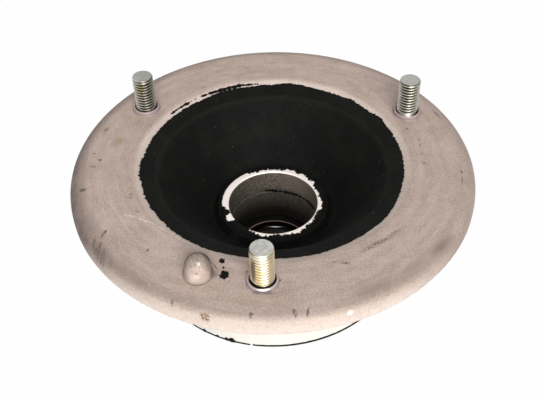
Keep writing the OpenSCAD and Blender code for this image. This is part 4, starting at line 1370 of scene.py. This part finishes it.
def strips(centres, sides, outs, widths, thick):
    """Thin closed strips along a line, one for each stretch that has a width: points and faces (mm)."""
    points, faces, stretch = [], [], []
    for k in range(len(centres) + 1):
        if k < len(centres) and widths[k] > FLASH_LEAST:
            stretch.append(k)
            continue
        if len(stretch) > 2:
            base = len(points)
            for s in stretch:
                centre, across, out = centres[s], sides[s] * widths[s], outs[s]
                points += [centre - across, centre + out * thick, centre + across, centre - out * FLASH_SUNK]
            tail = len(points) - 4
            for a in range(base, tail, 4):
                faces += [(a + j, a + (j + 1) % 4, a + 4 + (j + 1) % 4, a + 4 + j) for j in range(4)]
            faces += [tuple(range(base, base + 4)), tuple(range(tail, tail + 4))]
        stretch = []
    return points, faces


def spokes(span):
    """Angles over a span, and the directions from the axis at them."""
    angles = np.radians(np.arange(*span))
    return angles, np.stack([np.cos(angles), np.sin(angles), 0 * angles], axis=1)


def mouth_streaks():
    """Broken lines of film on the slope outside the mouth."""
    angles, out = spokes(STREAK_SPAN)
    radius = by_angle(angles, [(a, r) for a, r, w in STREAK]) + 0.2 * ragged(angles, *STREAK_WAVES)
    centres = out * radius[:, None]
    centres[:, 2] = metal_at_mouth(radius)
    widths = by_angle(angles, [(a, w) for a, r, w in STREAK])
    widths += 0.15 + 0.4 * ragged(angles, *STREAK_WIDTHS) + 0.35 * ragged(angles, *STREAK_TEETH)
    up = np.array([0, 0, 1])
    sides = out + STREAK_SLOPE * up
    outs = up - STREAK_SLOPE * out
    return strips(centres, sides, outs, np.minimum(widths, STREAK_WIDEST), FLASH_T)


def bore_flash(sleeve):
    """The ragged dark line of flash on the wall of the bore."""
    angles, out = spokes(BORE_SPAN)
    centres = out * (sleeve.bore / MM - BORE_STEP)
    centres[:, 2] = by_angle(angles, BORE_LINE) + 0.3 * ragged(angles, *BORE_WAVES)
    sides = np.tile([0.0, 0.0, 1.0], (len(angles), 1))
    widths = 0.55 + 0.5 * ragged(angles, *BORE_WIDTHS) + 0.45 * ragged(angles, *BORE_TEETH)
    return strips(centres, sides, -out, widths, 2 * FLASH_T)


class STRUT_MOUNT_OT_flash(Operator):
    """Adds the splashes, streaks and lines of rubber that moulding left on the metal"""

    bl_idname = "strut_mount.flash"
    bl_label = "Moulding flash"

    def execute(self, context):
        shapes = [splash(*drop, SPLASH_SEED + k) for k, drop in enumerate(SPLASHES)]
        shapes += [mouth_streaks(), bore_flash(context.scene.strut_mount.sleeve)]
        points, faces = [], []
        for some, around in shapes:
            faces += [[int(i) + len(points) for i in face] for face in around]
            points += [tuple(p) for p in some]
        mesh = tidy_mesh("rubber_flash", points, faces)
        mesh.materials.append(bpy.data.materials["moulded_rubber"])
        flash = link(bpy.data.objects.new("rubber_flash", mesh))
        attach(flash, "mount")
        return {"FINISHED"}


# Steps of the thread's mesh in one turn and in one pitch.
TURN_STEPS = 64
PITCH_STEPS = 14
# The stud below its thread (mm): the head's radius and round, its top, and the press-in neck's radius.
HEAD_RADIUS = 5.5
HEAD_ROUND = 0.5
HEAD_TOP = -8.6
PRESS_RADIUS = 4.38
# The thread's depth, half the width of its crests, and where its roots begin, as shares of the pitch.
THREAD_DEPTH = 0.61
CREST_HALF = 1 / 16
ROOT_START = 3 / 8
# Height below the end face over which the thread runs out (mm).
END_FADE = 1.7
# Turn of each stud about its own axis beyond the one before it (radians).
STUD_SPIN = 2.1


def stud_mesh(look):
    """One stud about Z: head, press-in neck, plain neck and a helical thread. The attribute tells the
    thread's roots from its crests."""
    radius, pitch, neck, chamfer, shank = (
        v / MM for v in (look.radius, look.pitch, look.neck, look.chamfer, look.shank)
    )
    top, foot = STUD_TOP / MM, STUD_FOOT / MM
    angles = np.linspace(0, 2 * math.pi, TURN_STEPS, endpoint=False)
    run = radius - shank
    rows = rounded([(0, foot, 0), (HEAD_RADIUS, foot, HEAD_ROUND), (HEAD_RADIUS, HEAD_TOP, 0)], 4)
    rows += [(PRESS_RADIUS, HEAD_TOP), (PRESS_RADIUS, 0.0), (shank, 0.0), (shank, neck - run)]
    plain = np.zeros(TURN_STEPS)
    depths = [plain] * len(rows)
    bare = radius - THREAD_DEPTH * pitch
    for height in np.arange(neck - run / 2, top - 0.03, pitch / PITCH_STEPS):
        turn = (height / pitch - angles / (2 * math.pi)) % 1
        deep = np.clip((np.abs(turn - 0.5) - CREST_HALF) / (ROOT_START - CREST_HALF), 0, 1)
        fade = np.clip((top - height) / END_FADE, 0, 1)
        reach = radius - deep * fade * THREAD_DEPTH * pitch
        up = np.clip((height - top + 2 * chamfer) / (2 * chamfer), 0, 1)
        lead = radius - max(chamfer * (1 - math.sqrt(1 - up ** 2)), neck - height)
        rows.append((np.minimum(reach, max(lead, bare - 0.05)), height))
        depths.append(deep)
    # The end face is a little hollow towards its middle.
    face = radius - chamfer
    end = [(face, top - 0.02), (face - 0.12, top), (face * 0.5, top - 0.04), (0, top - 0.05)]
    depths += [plain] * len(end)
    roots = {ROOT: np.concatenate(depths).tolist()}
    return grid_mesh("studs", rows + end, angles, closed=False, attributes=roots)


def stud_tree():
    """Copies of one stud on a circle, each turned about its own axis."""
    tree, add, keys, inputs = node_tree("stud_circle", {
        "Count": "NodeSocketInt", "Circle": "NodeSocketFloat", "First": "NodeSocketFloat",
        "Finish": "NodeSocketMaterial",
    })
    ring = add("GeometryNodeMeshCircle", {"Vertices": inputs["Count"], "Radius": inputs["Circle"]})
    turn = add("ShaderNodeCombineXYZ", {2: inputs["First"]})
    ring = add("GeometryNodeTransform", {"Geometry": ring, "Rotation": turn})
    spin = add(MATH, {0: add("GeometryNodeInputIndex"), 1: STUD_SPIN}, operation="MULTIPLY")
    spin = add("FunctionNodeEulerToRotation", {0: add("ShaderNodeCombineXYZ", {2: spin})})
    copies = add(
        "GeometryNodeInstanceOnPoints", {"Points": ring, "Instance": inputs["Geometry"], "Rotation": spin}
    )
    end_tree(add, copies, inputs["Finish"])
    return tree, keys


class STRUT_MOUNT_OT_studs(Operator):
    """Threads one stud and sets copies of it on the stud circle"""

    bl_idname = "strut_mount.studs"
    bl_label = "Studs"

    def execute(self, context):
        look = context.scene.strut_mount.studs
        studs = link(bpy.data.objects.new("threaded_studs", stud_mesh(look)))
        tree, keys = stud_tree()
        grow(studs, tree, keys, {
            "Count": look.count, "Circle": look.circle, "First": look.first,
            "Finish": zinc_plated_steel(look),
        })
        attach(studs, "mount")
        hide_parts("studs")
        return {"FINISHED"}


class STRUT_MOUNT_OT_sleeve(Operator):
    """Gives the inner sleeve its bare cast finish"""

    bl_idname = "strut_mount.sleeve"
    bl_label = "Sleeve"

    def execute(self, context):
        dress("inner_sleeve", bare_cast_sleeve(context.scene.strut_mount.sleeve))
        return {"FINISHED"}


class STRUT_MOUNT_OT_bearing(Operator):
    """Finishes the bearing's rings, balls, cage and seals, and the snap ring"""

    bl_idname = "strut_mount.bearing"
    bl_label = "Bearing"

    def execute(self, context):
        look = context.scene.strut_mount.bearing
        for node, material in self.finishes(look).items():
            dress(node, material)
        return {"FINISHED"}

    @staticmethod
    def finishes(look):
        """The material of each of the bearing's nodes. Ring widths and depths are in millimetres."""
        # Ground rings give a satin shine with fine rings.
        ground = worked_metal(
            "ground_bearing_steel", look.steel, {"Metallic": 1, "Roughness": 0.25},
            ring_mm=0.15, depth_mm=0.01, dulling=0.35,
        )
        # Balls are polished nearly to a mirror.
        polished = worked_metal(
            "polished_bearing_steel", look.steel, {"Metallic": 1, "Roughness": 0.08},
            ring_mm=0.4, depth_mm=0.002, dulling=0.1,
        )
        # Pressed sheet is duller, with the soft streaks of rolling.
        pressed = worked_metal(
            "pressed_cage_steel", look.cage, {"Metallic": 1, "Roughness": 0.38},
            ring_mm=0.5, depth_mm=0.02, dulling=0.45,
        )
        # Nitrile seals are black and matt, with faint moulding rings.
        nitrile = worked_metal(
            "moulded_nitrile", look.seal, {"Metallic": 0, "Roughness": 0.6, "Specular IOR Level": 0.3},
            ring_mm=0.5, depth_mm=0.03, dulling=0.6,
        )
        # Oiled spring steel is dark and a little glossy.
        oiled = worked_metal(
            "oiled_spring_steel", look.snap, {"Metallic": 0.9, "Roughness": 0.4},
            ring_mm=0.4, depth_mm=0.02, dulling=0.5,
        )
        return {
            "bearing_outer_ring": ground, "bearing_inner_ring": greased_bearing_steel(look),
            "bearing_balls": polished, "cage_upper": pressed, "cage_lower": pressed, "cage_rivets": ground,
            "upper_seal": nitrile, "lower_seal": nitrile, "retaining_ring": oiled,
        }


STEPS = (
    STRUT_MOUNT_OT_stage, STRUT_MOUNT_OT_casting, STRUT_MOUNT_OT_rubber, STRUT_MOUNT_OT_flash,
    STRUT_MOUNT_OT_studs, STRUT_MOUNT_OT_sleeve, STRUT_MOUNT_OT_bearing,
)


class STRUT_MOUNT_PT_panel(Panel):
    """Lists the steps that finish the mount"""

    bl_idname = "STRUT_MOUNT_PT_panel"
    bl_label = "Strut Mount"
    bl_space_type = "VIEW_3D"
    bl_region_type = "UI"
    bl_category = "Strut Mount"

    def draw(self, context):
        for step in STEPS:
            self.layout.operator(step.bl_idname)


GROUPS = (
    StageSettings, CastingSettings, RubberSettings, StudSettings, SleeveSettings, BearingSettings,
    MountSettings,
)
CLASSES = GROUPS + STEPS + (STRUT_MOUNT_PT_panel,)


def register():
    for cls in CLASSES:
        bpy.utils.register_class(cls)
    bpy.types.Scene.strut_mount = PointerProperty(type=MountSettings)


def unregister():
    del bpy.types.Scene.strut_mount
    for cls in reversed(CLASSES):
        bpy.utils.unregister_class(cls)


def main():
    register()
    bpy.ops.strut_mount.stage()
    bpy.ops.strut_mount.casting()
    bpy.ops.strut_mount.rubber()
    bpy.ops.strut_mount.flash()
    bpy.ops.strut_mount.studs()
    bpy.ops.strut_mount.sleeve()
    bpy.ops.strut_mount.bearing()


if __name__ == "__main__":
    main()
